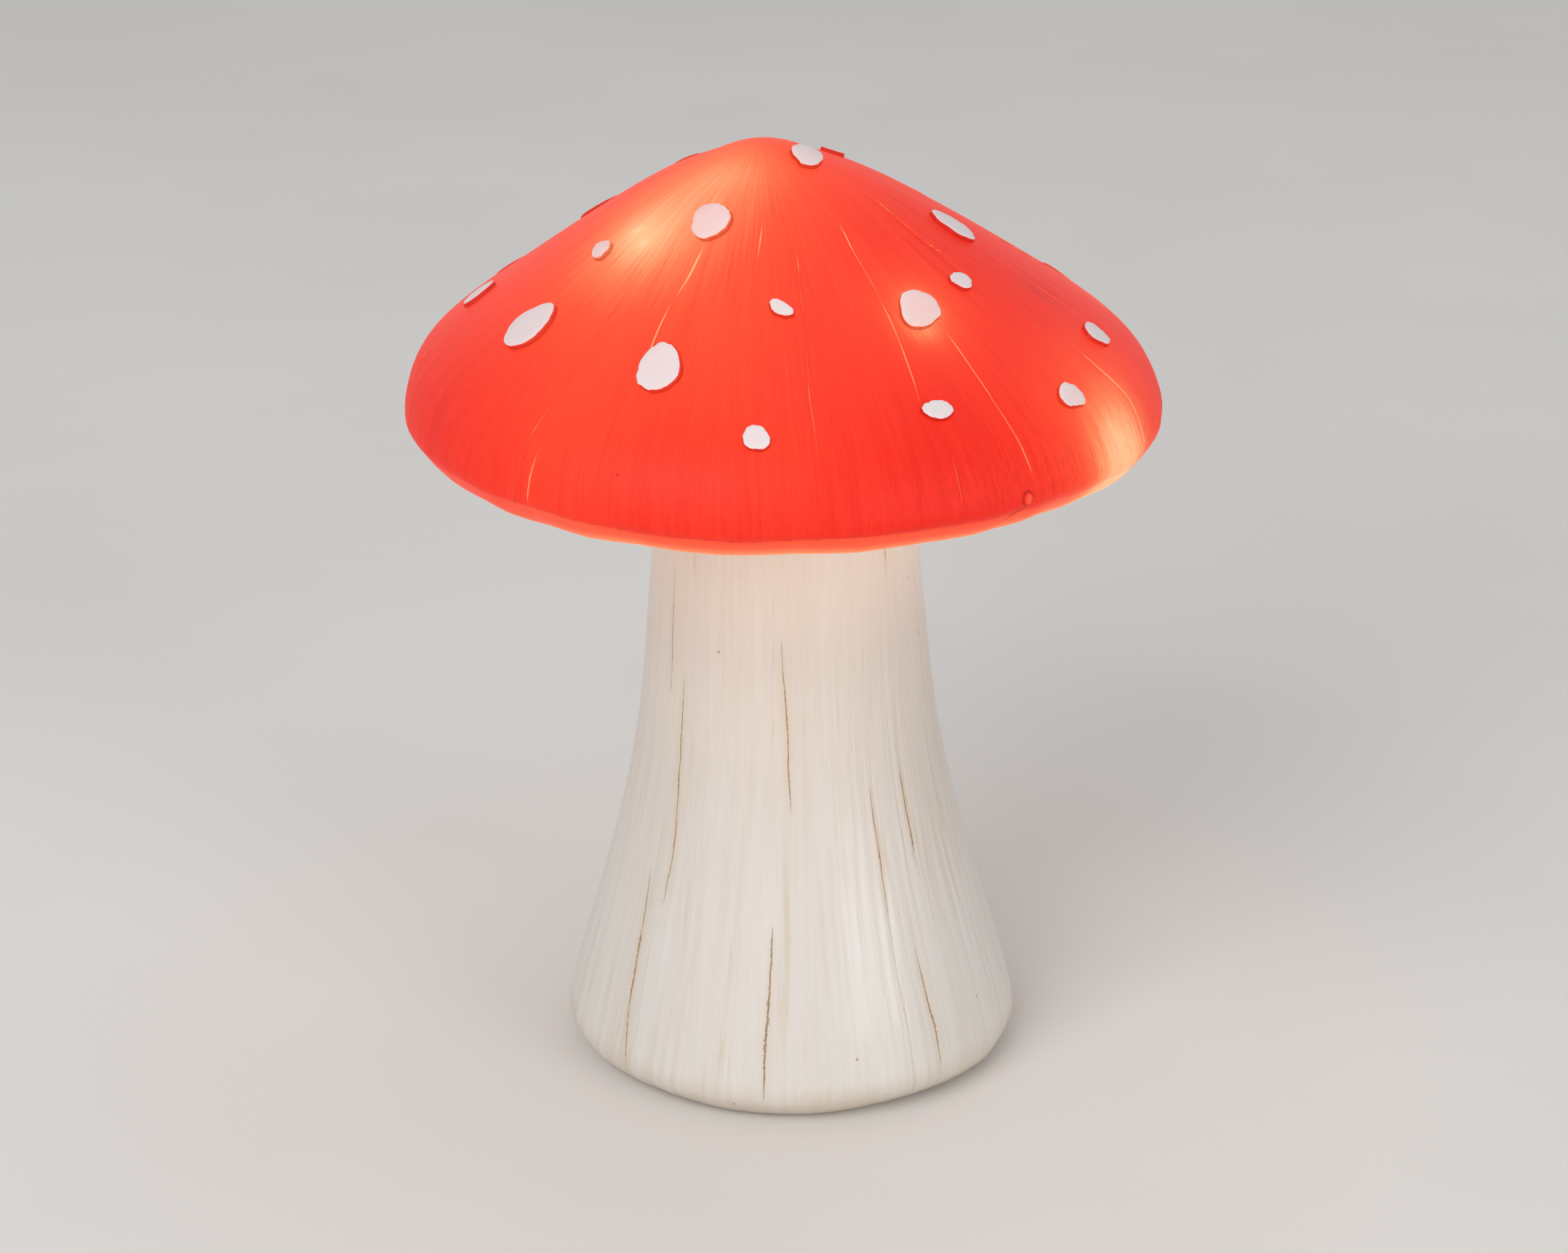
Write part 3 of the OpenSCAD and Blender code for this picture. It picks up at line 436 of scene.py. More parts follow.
# A run is bright along its middle and broken in places, with a thin line of painted shadow on either side
beside = add("Math.ABSOLUTE", run_at["X"])
core = add("MapRange", beside, 0.08, 0.5, 1, 0, interpolation_type="SMOOTHSTEP")
core = add("Math.MULTIPLY", core, add("MapRange", strokes, 0.42, 0.56, 0.22, 1.3))
run_mark = add("Math.MULTIPLY", core, run_at["Y"])
run_shadows = add("Math.MULTIPLY", add("MapRange", beside, 0.45, 0.9, 0.14, 0), run_at["Y"])
# Short cuts near the edge, where a blade or a stiff brush was drawn up the wet lacquer, with painted shade
# in them
cuts = add("Math.MULTIPLY", add("MapRange", cuts, 0.53, 0.62, 0, 0.21), run_at["Z"])
# Painted shade in the crease of the flash line, broken where it was sanded off
crease = add("MapRange", add("Math.ABSOLUTE", seam_at["X"]), 0, 0.55, 0.85, 0)
crease = add("Math.MULTIPLY", crease, add("MapRange", strokes, 0.44, 0.52))
crease = add("Math.MULTIPLY", crease, seam_at["Y"])
# A scuff on the right flank, which fades out between two radii, and a nick here and there
scuff = add("MapRange", add("VectorMath.DISTANCE", place, scuff_at).outputs["Value"], *scuff_r, 1, 0)
scuff = add("Math.MULTIPLY", add("MapRange", hairs, 0.52, 0.6, 0, 0.6), scuff)
nicks = add("TexVoronoi", Vector=place, Scale=1 / nick_far).outputs["Distance"]
nicks = add("MapRange", nicks, 0.012, 0.022, 0.6, 0)
# Real marks and painted shade darken the lacquer together: the runs' painted shadows, painted shade in the
# cuts and along the flash line's crease, and the real scuff and nicks
for more in (run_shadows, cuts, crease, scuff, nicks):
    dirt_and_shade = add("Math.ADD", dirt_and_shade, more, use_clamp=True)
tint = add("ValToRGB", strokes, stops=[(0.3, "#b81410"), (0.7, "#c21710")])
tint = add("Mix", add("Math.MULTIPLY", strip_mark, 0.6), tint, colour("#d44a26"), data_type="RGBA")
tint = add("Mix", dirt_and_shade, tint, colour("#8e130d"), data_type="RGBA")
# Strokes hold back a little of the light, and runs and the rim let more of it through
uneven = add("MapRange", hairs, 0.3, 0.7, 0.87, 1.13)
broad, fine = [add("MapRange", noise, 0.3, 0.7, -0.02, 0.02) for noise in (strokes, hairs)]
broad = add("Math.MULTIPLY", add("Math.ADD", broad, fine), seam_at["Z"])
through = add("Math.MULTIPLY_ADD", light, uneven, broad)
through = add("Math.MULTIPLY_ADD", run_mark, 0.38, through)
through = add("Math.MULTIPLY_ADD", strip_mark, 0.53, through)
lit = add("ValToRGB", through, stops=[
    (0, "#9c0d0a"), (1, "#e7d4a0"), (0.12, "#bc3a23"), (0.28, "#c45330"), (0.5, "#cb8051"),
    (0.75, "#daba86")])
lit = add("Mix", dirt_and_shade, lit, colour("#5c0705"), data_type="RGBA")
grain = add("MapRange", hairs, 0, 1, 0.4, 0.52)
relief = add("Math.MULTIPLY_ADD", strokes, 0.6, hairs)
relief = add("Math.MULTIPLY_ADD", cuts, -3.0, relief)
bump = add("Bump", Strength=0.28, Distance=brush_depth, Height=relief)
feed(shader, Base_Color=tint, Emission_Color=lit, Roughness=grain, Normal=bump)
cap.data.materials.append(lacquer)
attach(cap, "stand")
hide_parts("cap_shell")

# Spots: thin raised discs, part of the casting's look but set on by hand, each a little uneven.
# Their sides stay red under painted shade, and their tops are painted white with two thin coats of acrylic.
# Azimuth, share of the cap's radius, length and width as shares of the largest, and turn
spot_shares = [
    (64.1, 0.121, 0.76, 0.57, -79), (-24.8, 0.337, 0.76, 0.69, 7), (82.2, 0.476, 0.84, 0.66, 10),
    (-61.1, 0.488, 0.44, 0.36, -114), (55.2, 0.579, 0.46, 0.35, -102),
    (-92.6, 0.78, 0.66, 0.5, 0), (36.5, 0.612, 0.84, 0.74, -54), (2.4, 0.571, 0.42, 0.28, -130),
    (-58.9, 0.722, 1, 0.84, 5), (76.4, 0.842, 0.6, 0.5, -103), (-22.5, 0.74, 1, 0.7, 5),
    (53.5, 0.904, 0.55, 0.49, -108), (27, 0.857, 0.52, 0.37, -98),
    (-3.4, 0.891, 0.46, 0.43, -118), (-143, 0.342, 0.8, 0.66, 0), (-124, 0.552, 0.8, 0.7, 0),
    (-121, 0.847, 0.6, 0.5, 20), (134, 0.516, 0.7, 0.6, -20), (121, 0.884, 0.66, 0.52, 0),
    (150, 0.66, 0.9, 0.74, 30), (160, 0.33, 0.74, 0.66, -15), (180, 0.8, 0.86, 0.72, 80),
    (-148, 0.62, 0.82, 0.6, 10), (-136, 0.86, 0.5, 0.44, -60), (-164, 0.89, 0.52, 0.4, 95),
    (152, 0.88, 0.46, 0.4, -70), (-158, 0.44, 0.42, 0.35, 40), (128, 0.22, 0.46, 0.38, 0),
    (-177, 0.52, 0.44, 0.34, 60), (132, 0.88, 0.5, 0.42, -105), (-175, 0.24, 0.46, 0.36, -110)]
spot_len = 21 * mm
spot_top = 1.5 * mm
spot_sink = 0.5 * mm
spot_edge = 0.2 * mm
spot_sides = 96
wave_shares = (0.05, 0.045, 0.05)
ragged = 0.035
# How much painted shade darkens each spot's bare sides
side_shade = 0.55
side_lean = 0.8 * mm


def to_cap(x, y):
    """Azimuth and share of the way of the places straight above or below points over the dome"""
    up = np.ones(np.shape(x))
    for _ in range(4):
        turn, r = np.arctan2(x - tip_shift * up, -y), np.hypot(x - tip_shift * up, y)
        down = np.interp(r, radius_at, down_at)
        up = np.clip((along(cap_line, down)[..., 1] - wide_z) / dome_h, 0, 1)
    return turn, down


def spot(index, az, share, length, width, tilt):
    """Points of one spot that follows the cap under it, ring by ring up its side and in to its middle"""
    a = np.arange(spot_sides) * math.tau / spot_sides
    noise = patches(a, 0, 13, 1, 100 + index)
    torn = ragged * np.clip(patches(a, 0, 31, 1, 140 + index), -1, 0.2) / math.sqrt(width)
    wave = (1 + wave_shares[0] * np.sin(2 * a + math.radians(67 * index))
            + wave_shares[1] * np.sin(3 * a + math.radians(131 * index)) + wave_shares[2] * noise)
    u, v = wave * width * spot_len / 2 * np.sin(a), -wave * length * spot_len / 2 * np.cos(a)
    c, s = math.cos(math.radians(tilt)), math.sin(math.radians(tilt))
    u, v = c * u - s * v, s * u + c * v
    turn, down = math.radians(az), np.interp(share * cap_r, radius_at, down_at)
    middle, n = cap_form(turn, down), outward(cap_form, turn, down)
    east = np.array([math.cos(turn), math.sin(turn), 0])
    north = np.cross(n, east)
    inset = spot_edge / (width * spot_len / 2)
    levels = [
        (1 + inset * 2.4, -spot_sink), (1 + inset * 1.6, 0.2 * spot_top), (1 + inset, 0.7 * spot_top),
        (1 + 0.4 * inset, spot_top - 0.5 * spot_edge), (1 - inset, spot_top),
        (0.6, spot_top * 1.02), (0.3, spot_top * 1.03), (0, spot_top * 1.04)]
    lean = side_lean * min(max(-az / 25, 0), 1)
    points, turns, downs = [], [], []
    for scale, lift in levels:
        reach = scale * (1 + torn * (lift > 0.5 * spot_top))[:, None]
        beside = lean * (lift < 0.8 * spot_top)
        flat = middle + reach * (u[:, None] * east + v[:, None] * north) + beside * east
        t, d = to_cap(flat[:, 0], flat[:, 1])
        points.append(cap_form(t, d) + lift * outward(cap_form, t, d))
        turns.append(t)
        downs.append(d)
    points[-1], turns[-1], downs[-1] = points[-1][:1], turns[-1][:1], downs[-1][:1]
    return np.vstack(points), np.concatenate(turns), np.concatenate(downs)


# Faces of one spot: rings of four-sided ones from its sunk edge upwards, a fan at its middle, and its back.
# The three lowest rings are its bare side, darkened with painted shade, and what lies above them is painted
# white.
spot_rings = 7
peak = spot_rings * spot_sides
last = peak - spot_sides
spot_faces = tube(spot_rings, spot_sides)
spot_faces += [(last + k, last + (k + 1) % spot_sides, peak) for k in range(spot_sides)]
spot_faces.append(tuple(reversed(range(spot_sides))))
bare_n = 3 * spot_sides
painted = [0] * bare_n + [1] * (peak - bare_n) + [0]
# Painted shade on each spot's bare side rings, none on its painted top
dark = [side_shade] * bare_n + [0] * (peak - bare_n + 1)
points, turns, downs = map(np.concatenate, zip(*[spot(k, *row) for k, row in enumerate(spot_shares)]))
faces = [tuple(first + k for k in face) for first in range(0, len(points), peak + 1) for face in spot_faces]
spots = solid("spots", points, faces)
mark_cap(spots.data, turns, downs, points, np.tile(dark, len(spot_shares)))

# White acrylic, brushed thin: matt, faintly pink where the red or a lamp shows through
coat_w = 3.5 * mm
coat_depth = 0.2 * mm
paint, add, shader, place = finish(
    "thin white acrylic over red resin", Roughness=0.55, IOR=1.47, Emission_Strength=1)
light = add("Attribute", attribute_name="glow").outputs["Fac"]
coats = add(
    "TexNoise", Vector=add("Mapping", Vector=place, Scale=(1, 0.35, 1)), Scale=1 / coat_w, Detail=4,
    Roughness=0.6, Distortion=0.6)
thin = add("Math.ADD", add("Math.MULTIPLY", light, 1.3), add("MapRange", coats, 0.4, 0.7, 0, 0.28))
white = add("ValToRGB", thin, stops=[(0, "#dcd9db"), (1, "#f5c6c1"), (0.3, "#e9d8d9")])
warm = add("ValToRGB", light, stops=[(0.05, "#000000"), (0.8, "#4a2b22")])
brushed = add("Bump", Strength=0.3, Distance=coat_depth, Height=coats)
feed(shader, Base_Color=white, Emission_Color=warm, Normal=brushed)
for material in (lacquer, paint):
    spots.data.materials.append(material)
spots.data.polygons.foreach_set("material_index", np.array(painted * len(spot_shares), np.int32))
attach(spots, "stand")
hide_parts("cap_spots")

# Stem: one hollow casting in cream polyester resin, slim at the neck and flared to a round foot.
# Its upright grooves and thin cracks were carved in the pattern, and a brown wash was wiped over them.
# It is screwed to the cap's underside through the flange inside its top.
neck_r = 48.8 * mm
foot_r = 88.5 * mm
stand_r = 76.5 * mm
under_rise = 10.5 * mm
stem_z = rim_z + under_rise
stem_wall = 5 * mm
flange_t = 5 * mm
wire_way_r = 14 * mm
recess_r = 66.3 * mm
ring_r = 55.8 * mm
seal_top = 9.5 * mm
ring_top = 18 * mm
# The casting leans a little: its foot lies to the right of the cap
neck_shift = 0.6 * mm
foot_shift = 3 * mm
# How far the foot's lower edge was ground in where it was fettled: azimuth in degrees and depth in mm
foot_flats = [
    (-180, 2.5), (-72, 2.5), (-61, 2), (-52, 2.6), (-40, 4), (-31, 4), (-17, 2.9), (6, 2.5), (14, 3.2),
    (23, 4.3), (35, 3.8), (51, 1.5), (63, 0), (73, 2), (130, 3), (160, 2), (180, 2.5)]
flat_low, flat_high = 3 * mm, 12 * mm
stem_shares = [
    (0.054, 1), (0.13, 0.88), (0.23, 0.69), (0.37, 0.44), (0.52, 0.237), (0.7, 0.11), (0.86, 0.03), (1, 0)]
edge_shares = [(0, 0), (0.62, 0.2), (0.95, 0.58)]
edge_h = stem_shares[0][0] * stem_z
stem_points = [(stand_r + s * (foot_r - stand_r), t * edge_h) for s, t in edge_shares]
stem_points += [(neck_r + t * (foot_r - neck_r), s * stem_z) for s, t in stem_shares]
stem_line = smooth(stem_points, (2 * stand_r - foot_r, 0), (neck_r, stem_z + edge_h))[::-1]
stem_run = np.linalg.norm(np.diff(stem_line, axis=0), axis=1).sum()
# Cracks: width in mm, then azimuth in degrees and share of the stem's height
cracks = [
    (0.36, (-55, 0.8), (-54.5, 0.736), (-53.8, 0.679), (-52.8, 0.6)), (0.3, (-43.2, 0.88), (-42.5, 0.8)),
    (0.55, (-45, 0.65), (-45.5, 0.584), (-45, 0.514), (-43.8, 0.439), (-42.8, 0.383), (-43.8, 0.29)),
    (0.5, (-2.5, 0.72), (-1.5, 0.664), (-0.5, 0.613), (0, 0.57), (0, 0.513), (0.8, 0.455)),
    (0.3, (47.5, 0.88), (47.5, 0.79)), (0.32, (31, 0.49), (31.5, 0.404), (31.8, 0.344), (31.8, 0.29)),
    (0.7, (45.5, 0.5), (45.8, 0.461), (46.2, 0.418), (46.2, 0.36)),
    (0.7, (39.5, 0.235), (40, 0.183), (40.5, 0.14), (41.2, 0.108), (41, 0.055)),
    (1.05, (-5.5, 0.295), (-5.8, 0.237), (-6.2, 0.194), (-6.5, 0.151), (-7, 0.104), (-7, 0.046)),
    (0.7, (-52, 0.333), (-51, 0.275), (-50.5, 0.224), (-49.8, 0.166), (-49.2, 0.12), (-46.8, 0.046)),
    (0.6, (96, 0.5), (95, 0.4), (94, 0.28)), (0.5, (124, 0.8), (125, 0.68), (126, 0.6)),
    (1, (137, 0.3), (138, 0.18), (137, 0.06)), (0.6, (163, 0.6), (164, 0.48), (163, 0.38)),
    (0.9, (-167, 0.34), (-168, 0.2), (-169, 0.08)), (0.5, (-146, 0.78), (-145, 0.66), (-146, 0.58)),
    (0.7, (-121, 0.42), (-122, 0.3), (-121, 0.2)), (0.6, (-93, 0.26), (-93, 0.16), (-92, 0.06))]
crack_depth = 0.35 * mm
flute_h = 0.3 * mm
carve_h = 0.2 * mm
line_h = 0.2 * mm


def stem_form(turn, down):
    turn, down = np.broadcast_arrays(turn, down)
    r, z = np.moveaxis(along(stem_line, down), -1, 0)
    shift = neck_shift + (foot_shift - neck_shift) * fade(stem_z - z, 0, stem_z)
    r = r - by_azimuth(turn, foot_flats) * mm * (1 - fade(z, flat_low, flat_high))
    r = r + flute_h * patches(turn, down, 13, 3, 21) * fade(down, 0, 0.2)
    return around(turn, r, z, shift)


def near_cracks(turn, down):
    """Distance in mm from the nearest crack, half its width, and how much of the wash ran out beside it"""
    r, z = np.moveaxis(along(stem_line, down), -1, 0)
    height = z / stem_z
    near, half, stain = np.full(r.shape, 9.0), np.zeros(r.shape), np.zeros(r.shape)
    for index, (width, *points) in enumerate(cracks):
        az, at = np.array(points).T
        wander = 0.18 * patches(0, 1 - height, 1, 60, 300 + index)
        side = wrapped(turn - np.radians(np.interp(height, at[::-1], az[::-1]) + wander)) * r / mm
        share = np.clip((height - at[-1]) / (at[0] - at[-1]), 0, 1)
        taper = np.sin(math.pi * share) ** 0.5
        broken = 0.8 + 0.4 * patches(0, 1 - height, 1, 90, 330 + index)
        closer = (np.abs(side) < np.abs(near)) & (taper > 0)
        near = np.where(closer, side, near)
        half = np.where(closer, width / 2 * taper * broken, half)
        stain = np.maximum(stain, taper * np.exp(-np.abs(side) / 1.6))
    return near, half * (1 - fade(np.abs(near), 2, 3)), stain


def carving(turn, down):
    """Upright grooves, a little wavy, deeper near the foot"""
    bent = turn + np.radians(1.3) * patches(turn, down, 26, 8, 22)
    strong = 0.45 + 0.55 * fade(down, 0.3, 0.85)
    uneven = 0.7 + 0.5 * patches(turn, down, 7, 2, 23)
    wide = patches(bent, down, 105, 4, 24)
    fine = patches(bent, down, 190, 6, 25)
    cut = np.clip(1 - np.abs(wide) / 0.3, 0, 1)
    return (carve_h * (0.6 * wide - 1.1 * cut) + line_h * fine) * strong * uneven


def stem_relief(turn, down):
    edge = fade(down, 0, 0.03) * (1 - fade(down, 0.95, 0.985))
    near, half, _ = near_cracks(turn, down)
    deep = np.clip(1 - np.abs(near) / np.maximum(1.6 * half, 0.01), 0, 1)
    return edge * (carving(turn, down) - crack_depth * deep)


stem_turn = columns(600, cracks, 0.9)
turn, down = np.meshgrid(stem_turn, np.linspace(0, 1, 72))
outer = skin(stem_form, stem_relief, turn, down)
height = stem_line[:, 1]
wall_line = stem_line[(height > ring_top) & (height < stem_z - flange_t)][::-1] - [stem_wall, 0]
hollow = np.vstack([
    [(recess_r, 0), (recess_r, seal_top), (ring_r, seal_top), (ring_r, ring_top)],
    [(wall_line[0, 0], ring_top)], wall_line[::12], wall_line[-1:],
    [(wall_line[-1, 0], stem_z - flange_t), (wire_way_r, stem_z - flange_t), (wire_way_r, stem_z)]])
inner = np.stack([around(stem_turn, r, z) for r, z in hollow])
stem = lathe("stem", np.concatenate([outer, inner]))
stem.data.set_sharp_from_angle(angle=math.radians(50))
rest = np.zeros(inner.shape)
mark(stem.data, "crack", np.concatenate([np.stack(near_cracks(turn, down), axis=-1), rest]))
carved = carving(turn, down) / (carve_h + line_h)
mark(stem.data, "carved", np.concatenate([carved, rest[..., 0]]).ravel())
grain_way = around(turn, 1, down * stem_run / neck_r)
mark(stem.data, "grain", np.concatenate([grain_way, inner / neck_r]))

# Cream resin with a wiped brown wash: satin, pale on the ridges, beige in the grooves and brown in the
# cracks, with painted light at the top: a warm tint and a glow that stand in for the light of the cap
line_w = 1.5 * mm
thread_w = 3.4 * mm
streak_w = 7 * mm
stain_w = 16 * mm
rag_w = 1.1 * mm
speck_far = 24 * mm
crease_depth = 0.4 * mm
# Heights: the wash thins out, a painted tint and glow stand in for the cap's light, the foot's brown edge
# fades
calm_z = 110 * mm, 230 * mm
painted_warmth_z = 60 * mm, 250 * mm
painted_glow_z = 130 * mm, 252 * mm
foot_z = 2 * mm, 19 * mm
cream, add, shader, place = finish(
    "cream resin with a wiped wash", Roughness=0.4, IOR=1.5, Emission_Strength=1, Coat_Weight=0.3,
    Coat_Roughness=0.2)
grain_at, crack_at = [
    add("Attribute", attribute_name=name).outputs["Vector"] for name in ("grain", "crack")]
crack_at = add("SeparateXYZ", crack_at).outputs
carved_at = add("Attribute", attribute_name="carved").outputs["Fac"]
height = add("SeparateXYZ", place).outputs["Z"]
lines, streaks, threads = [
    add("TexNoise", Vector=add("Mapping", Vector=grain_at, Scale=(1, 1, stretch)), Scale=neck_r / width,
        Detail=detail, Roughness=rough, Distortion=bend)
    for stretch, width, detail, rough, bend in (
        (0.025, line_w, 4, 0.6, 0.2), (0.07, streak_w, 3, 0.55, 0), (0.035, thread_w, 3, 0.55, 0.7))]
# Fine creases wander down the casting, closer together in some places than in others
crease = add("Math.ABSOLUTE", add("Math.SUBTRACT", threads, 0.5))
crease = add("MapRange", crease, 0, 0.035, 1, 0, interpolation_type="SMOOTHSTEP")
crease = add("Math.MULTIPLY", crease, add("MapRange", streaks, 0.4, 0.62, 0.15, 1))
lined = add("Math.ADD", add("Math.MULTIPLY", lines, 0.7), add("Math.MULTIPLY", streaks, 0.3))
wash = add("Math.ADD", add("MapRange", carved_at, -0.8, 0.8, 0.2, -0.2), lined)
wash = add("Math.MULTIPLY_ADD", crease, 0.08, wash)
body = add(
    "ValToRGB", wash, stops=[(0.25, "#dcd8d3"), (0.85, "#cec1ae"), (0.45, "#dad5cf"), (0.62, "#d7d0c7")])
# Less of the wash stayed on the smooth neck, and more of it round the foot's edge and beside the cracks
calm = add("MapRange", height, *calm_z, 0, 0.55)
# Painted light: the upper stem is tinted warm for the cap's light that falls on it
painted_warmth = add("MapRange", height, *painted_warmth_z, 0, 0.5)
blotches = add("TexNoise", Vector=place, Scale=1 / stain_w, Detail=4)
foot_line = add("Math.MULTIPLY", add("MapRange", height, *foot_z, 0.9, 0), blotches)
stained = add("Math.MULTIPLY", crack_at["Z"], 0.45)
# A crack's sides are ragged, and the wash dried in it unevenly
rag = add("TexNoise", Vector=place, Scale=1 / rag_w, Detail=3, Roughness=0.7)
reach = add("Math.MULTIPLY", crack_at["Y"], add("MapRange", rag, 0.36, 0.64, 0.1, 1.7))
aside = add("Math.SUBTRACT", add("Math.ABSOLUTE", crack_at["X"]), reach)
in_crack = add("MapRange", aside, -0.05, 0.1, 0.95, 0)
in_crack = add("Math.MULTIPLY", in_crack, add("MapRange", crack_at["Y"], 0.02, 0.1))
dried = add("ValToRGB", rag, stops=[(0.38, "#6a523a"), (0.6, "#aa8c69")])
specks = add("TexVoronoi", Vector=place, Scale=1 / speck_far).outputs["Distance"]
specks = add("MapRange", specks, 0.02, 0.03, 0.8, 0)
for share, shade, blend in (
        (calm, colour("#dad4cd"), "MIX"), (painted_warmth, colour("#f2dccb"), "MULTIPLY"),
        (foot_line, colour("#bd9f78"), "MIX"), (stained, colour("#cdb08c"), "MIX"),
        (in_crack, dried, "MIX"), (specks, colour("#b08a62"), "MIX")):
    body = add("Mix", share, body, shade, data_type="RGBA", blend_type=blend)
# Painted light: a glow that warms the upper stem, standing in for the light that the cap throws down on it
warm = add("MapRange", height, *painted_glow_z, 0, 1)
warm = add("ValToRGB", warm, stops=[(0, "#000000"), (1, "#b89884"), (0.4, "#3a332e"), (0.75, "#7e6b5f")])
rough = add("MapRange", wash, 0.2, 0.8, 0.25, 0.48)
carve = add("Math.MULTIPLY_ADD", crease, -0.4, lines)
carve = add("Bump", Strength=0.45, Distance=crease_depth, Height=carve)
feed(shader, Base_Color=body, Emission_Color=warm, Roughness=rough, Normal=carve)
stem.data.materials.append(cream)
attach(stem, "stand")
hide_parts("stem_shell")

# Underside: a dished disc in cream resin with cast gills, glued into the cap's mouth and seated on the stem.
# Three bosses on its back take the screws from the stem, and its middle hole holds the wire's grommet.
under_t = 3.5 * mm
under_r = 120.7 * mm
under_edge_z = rim_z + 1.5 * mm
hub_r = 57.8 * mm
grommet_hole_r = 6 * mm
boss_r = 5 * mm
boss_h = 12 * mm
boss_at = 30 * mm
gill_count = 60
gill_in_r = 59.8 * mm
gill_out_r = 117.7 * mm
gill_low_r = 100.3 * mm
gill_w = 1.6 * mm
gill_depths = [2.5 * mm, 4.5 * mm, 0.2 * mm]
sway_w = 0.35 * mm
sway_l = 9 * mm


def under_z(r):
    """Height of the underside's lower face"""
    return np.interp(r, [hub_r, under_r], [stem_z, under_edge_z])


disc = [(r, under_z(r) + under_t) for r in (grommet_hole_r, hub_r, 0.75 * under_r, under_r)]
disc += [
    (r, under_z(r)) for r in (under_r, 0.9 * under_r, 0.7 * under_r, hub_r, 0.8 * hub_r, grommet_hole_r)]
disc_turn = np.radians(np.arange(240) * 1.5)
underside = lathe("underside", np.stack([around(disc_turn, r, z) for r, z in disc]))

# One gill, thin at its wavy lower edge, as a closed blade along +X
blade_steps = 22
blade_r = np.linspace(gill_in_r, gill_out_r, blade_steps)
depth = np.interp(blade_r, [gill_in_r, gill_low_r, gill_out_r], gill_depths)
sway = sway_w * np.sin(blade_r / sway_l)
blade = []
for r, d, w in zip(blade_r, depth, sway):
    top, low = under_z(r) + under_t / 2, max(under_z(r) - d, rim_z)
    half = gill_w / 2
    blade += [(r, half, top), (r, w + half * 0.8, (top + low) / 2), (r, w + half * 0.35, low),
              (r, w - half * 0.35, low), (r, w - half * 0.8, (top + low) / 2), (r, -half, top)]
ring = 6
blade_faces = tube(blade_steps, ring)
blade_faces += [tuple(reversed(range(ring))), tuple(range((blade_steps - 1) * ring, blade_steps * ring))]
gill = solid("gill", blade, blade_faces, rounded=False)


def ring_of_copies():
    """A node tree that sets copies of a piece evenly round the lamp's axis"""
    tree = bpy.data.node_groups.new("ring of copies", "GeometryNodeTree")
    add = partial(add_node, tree)
    for name, kind in (
            ("Geometry", "Geometry"), ("Copies", "Int"), ("First turn", "Float"), ("Finish", "Material")):
        tree.interface.new_socket(name, in_out="INPUT", socket_type="NodeSocket" + kind)
    tree.interface.new_socket("Geometry", in_out="OUTPUT", socket_type="NodeSocketGeometry")
    given = tree.nodes.new("NodeGroupInput").outputs
    step = add("Math.DIVIDE", math.tau, given["Copies"])
    turned = add("Math.MULTIPLY_ADD", add("GeometryNodeInputIndex"), step, given["First turn"])
    copies = add(
        "GeometryNodeInstanceOnPoints", Points=add("GeometryNodePoints", Count=given["Copies"]),
        Instance=given["Geometry"], Rotation=add("CombineXYZ", Z=turned))
    whole = add(
        "GeometryNodeSetMaterial", Geometry=add("GeometryNodeRealizeInstances", Geometry=copies),
        Material=given["Finish"])
    tree.links.new(whole.outputs["Geometry"], tree.nodes.new("NodeGroupOutput").inputs["Geometry"])
    return tree


def realised(piece, tree, inputs):
    """Runs a node tree on a piece and keeps the result as the piece's plain mesh"""
    modifier = piece.modifiers.new(tree.name, "NODES")
    modifier.node_group = tree
    for socket in tree.interface.items_tree:
        if socket.in_out == "INPUT" and socket.name in inputs:
            modifier[socket.identifier] = inputs[socket.name]
    bpy.context.view_layer.update()
    mesh = bpy.data.meshes.new_from_object(piece.evaluated_get(bpy.context.evaluated_depsgraph_get()))
    piece.modifiers.remove(modifier)
    piece.data = mesh
    return piece


def absorb(piece, *others):
    """Moves the meshes of other objects into a piece"""
    whole = bmesh.new()
    for source in (piece, *others):
        whole.from_mesh(source.data)
    whole.to_mesh(piece.data)
    whole.free()
    for source in others:
        bpy.data.objects.remove(source)


# Plain cream resin, as cast: a soft satin with faint mottling, and a painted glow for the cap's light on it
mottle_w = 9 * mm
pit_depth = 0.2 * mm
bare, add, shader, place = finish("plain cast cream resin", Roughness=0.5, IOR=1.5, Emission_Strength=1)
mottle = add("TexNoise", Vector=place, Scale=1 / mottle_w, Detail=4, Roughness=0.6)
cast = add("ValToRGB", mottle, stops=[(0.3, "#d9c3ab"), (0.7, "#e8dac8")])
spread = add("VectorMath.LENGTH", add("VectorMath.MULTIPLY", place, (1, 1, 0))).outputs["Value"]
out_at = add("MapRange", spread, hub_r, under_r)
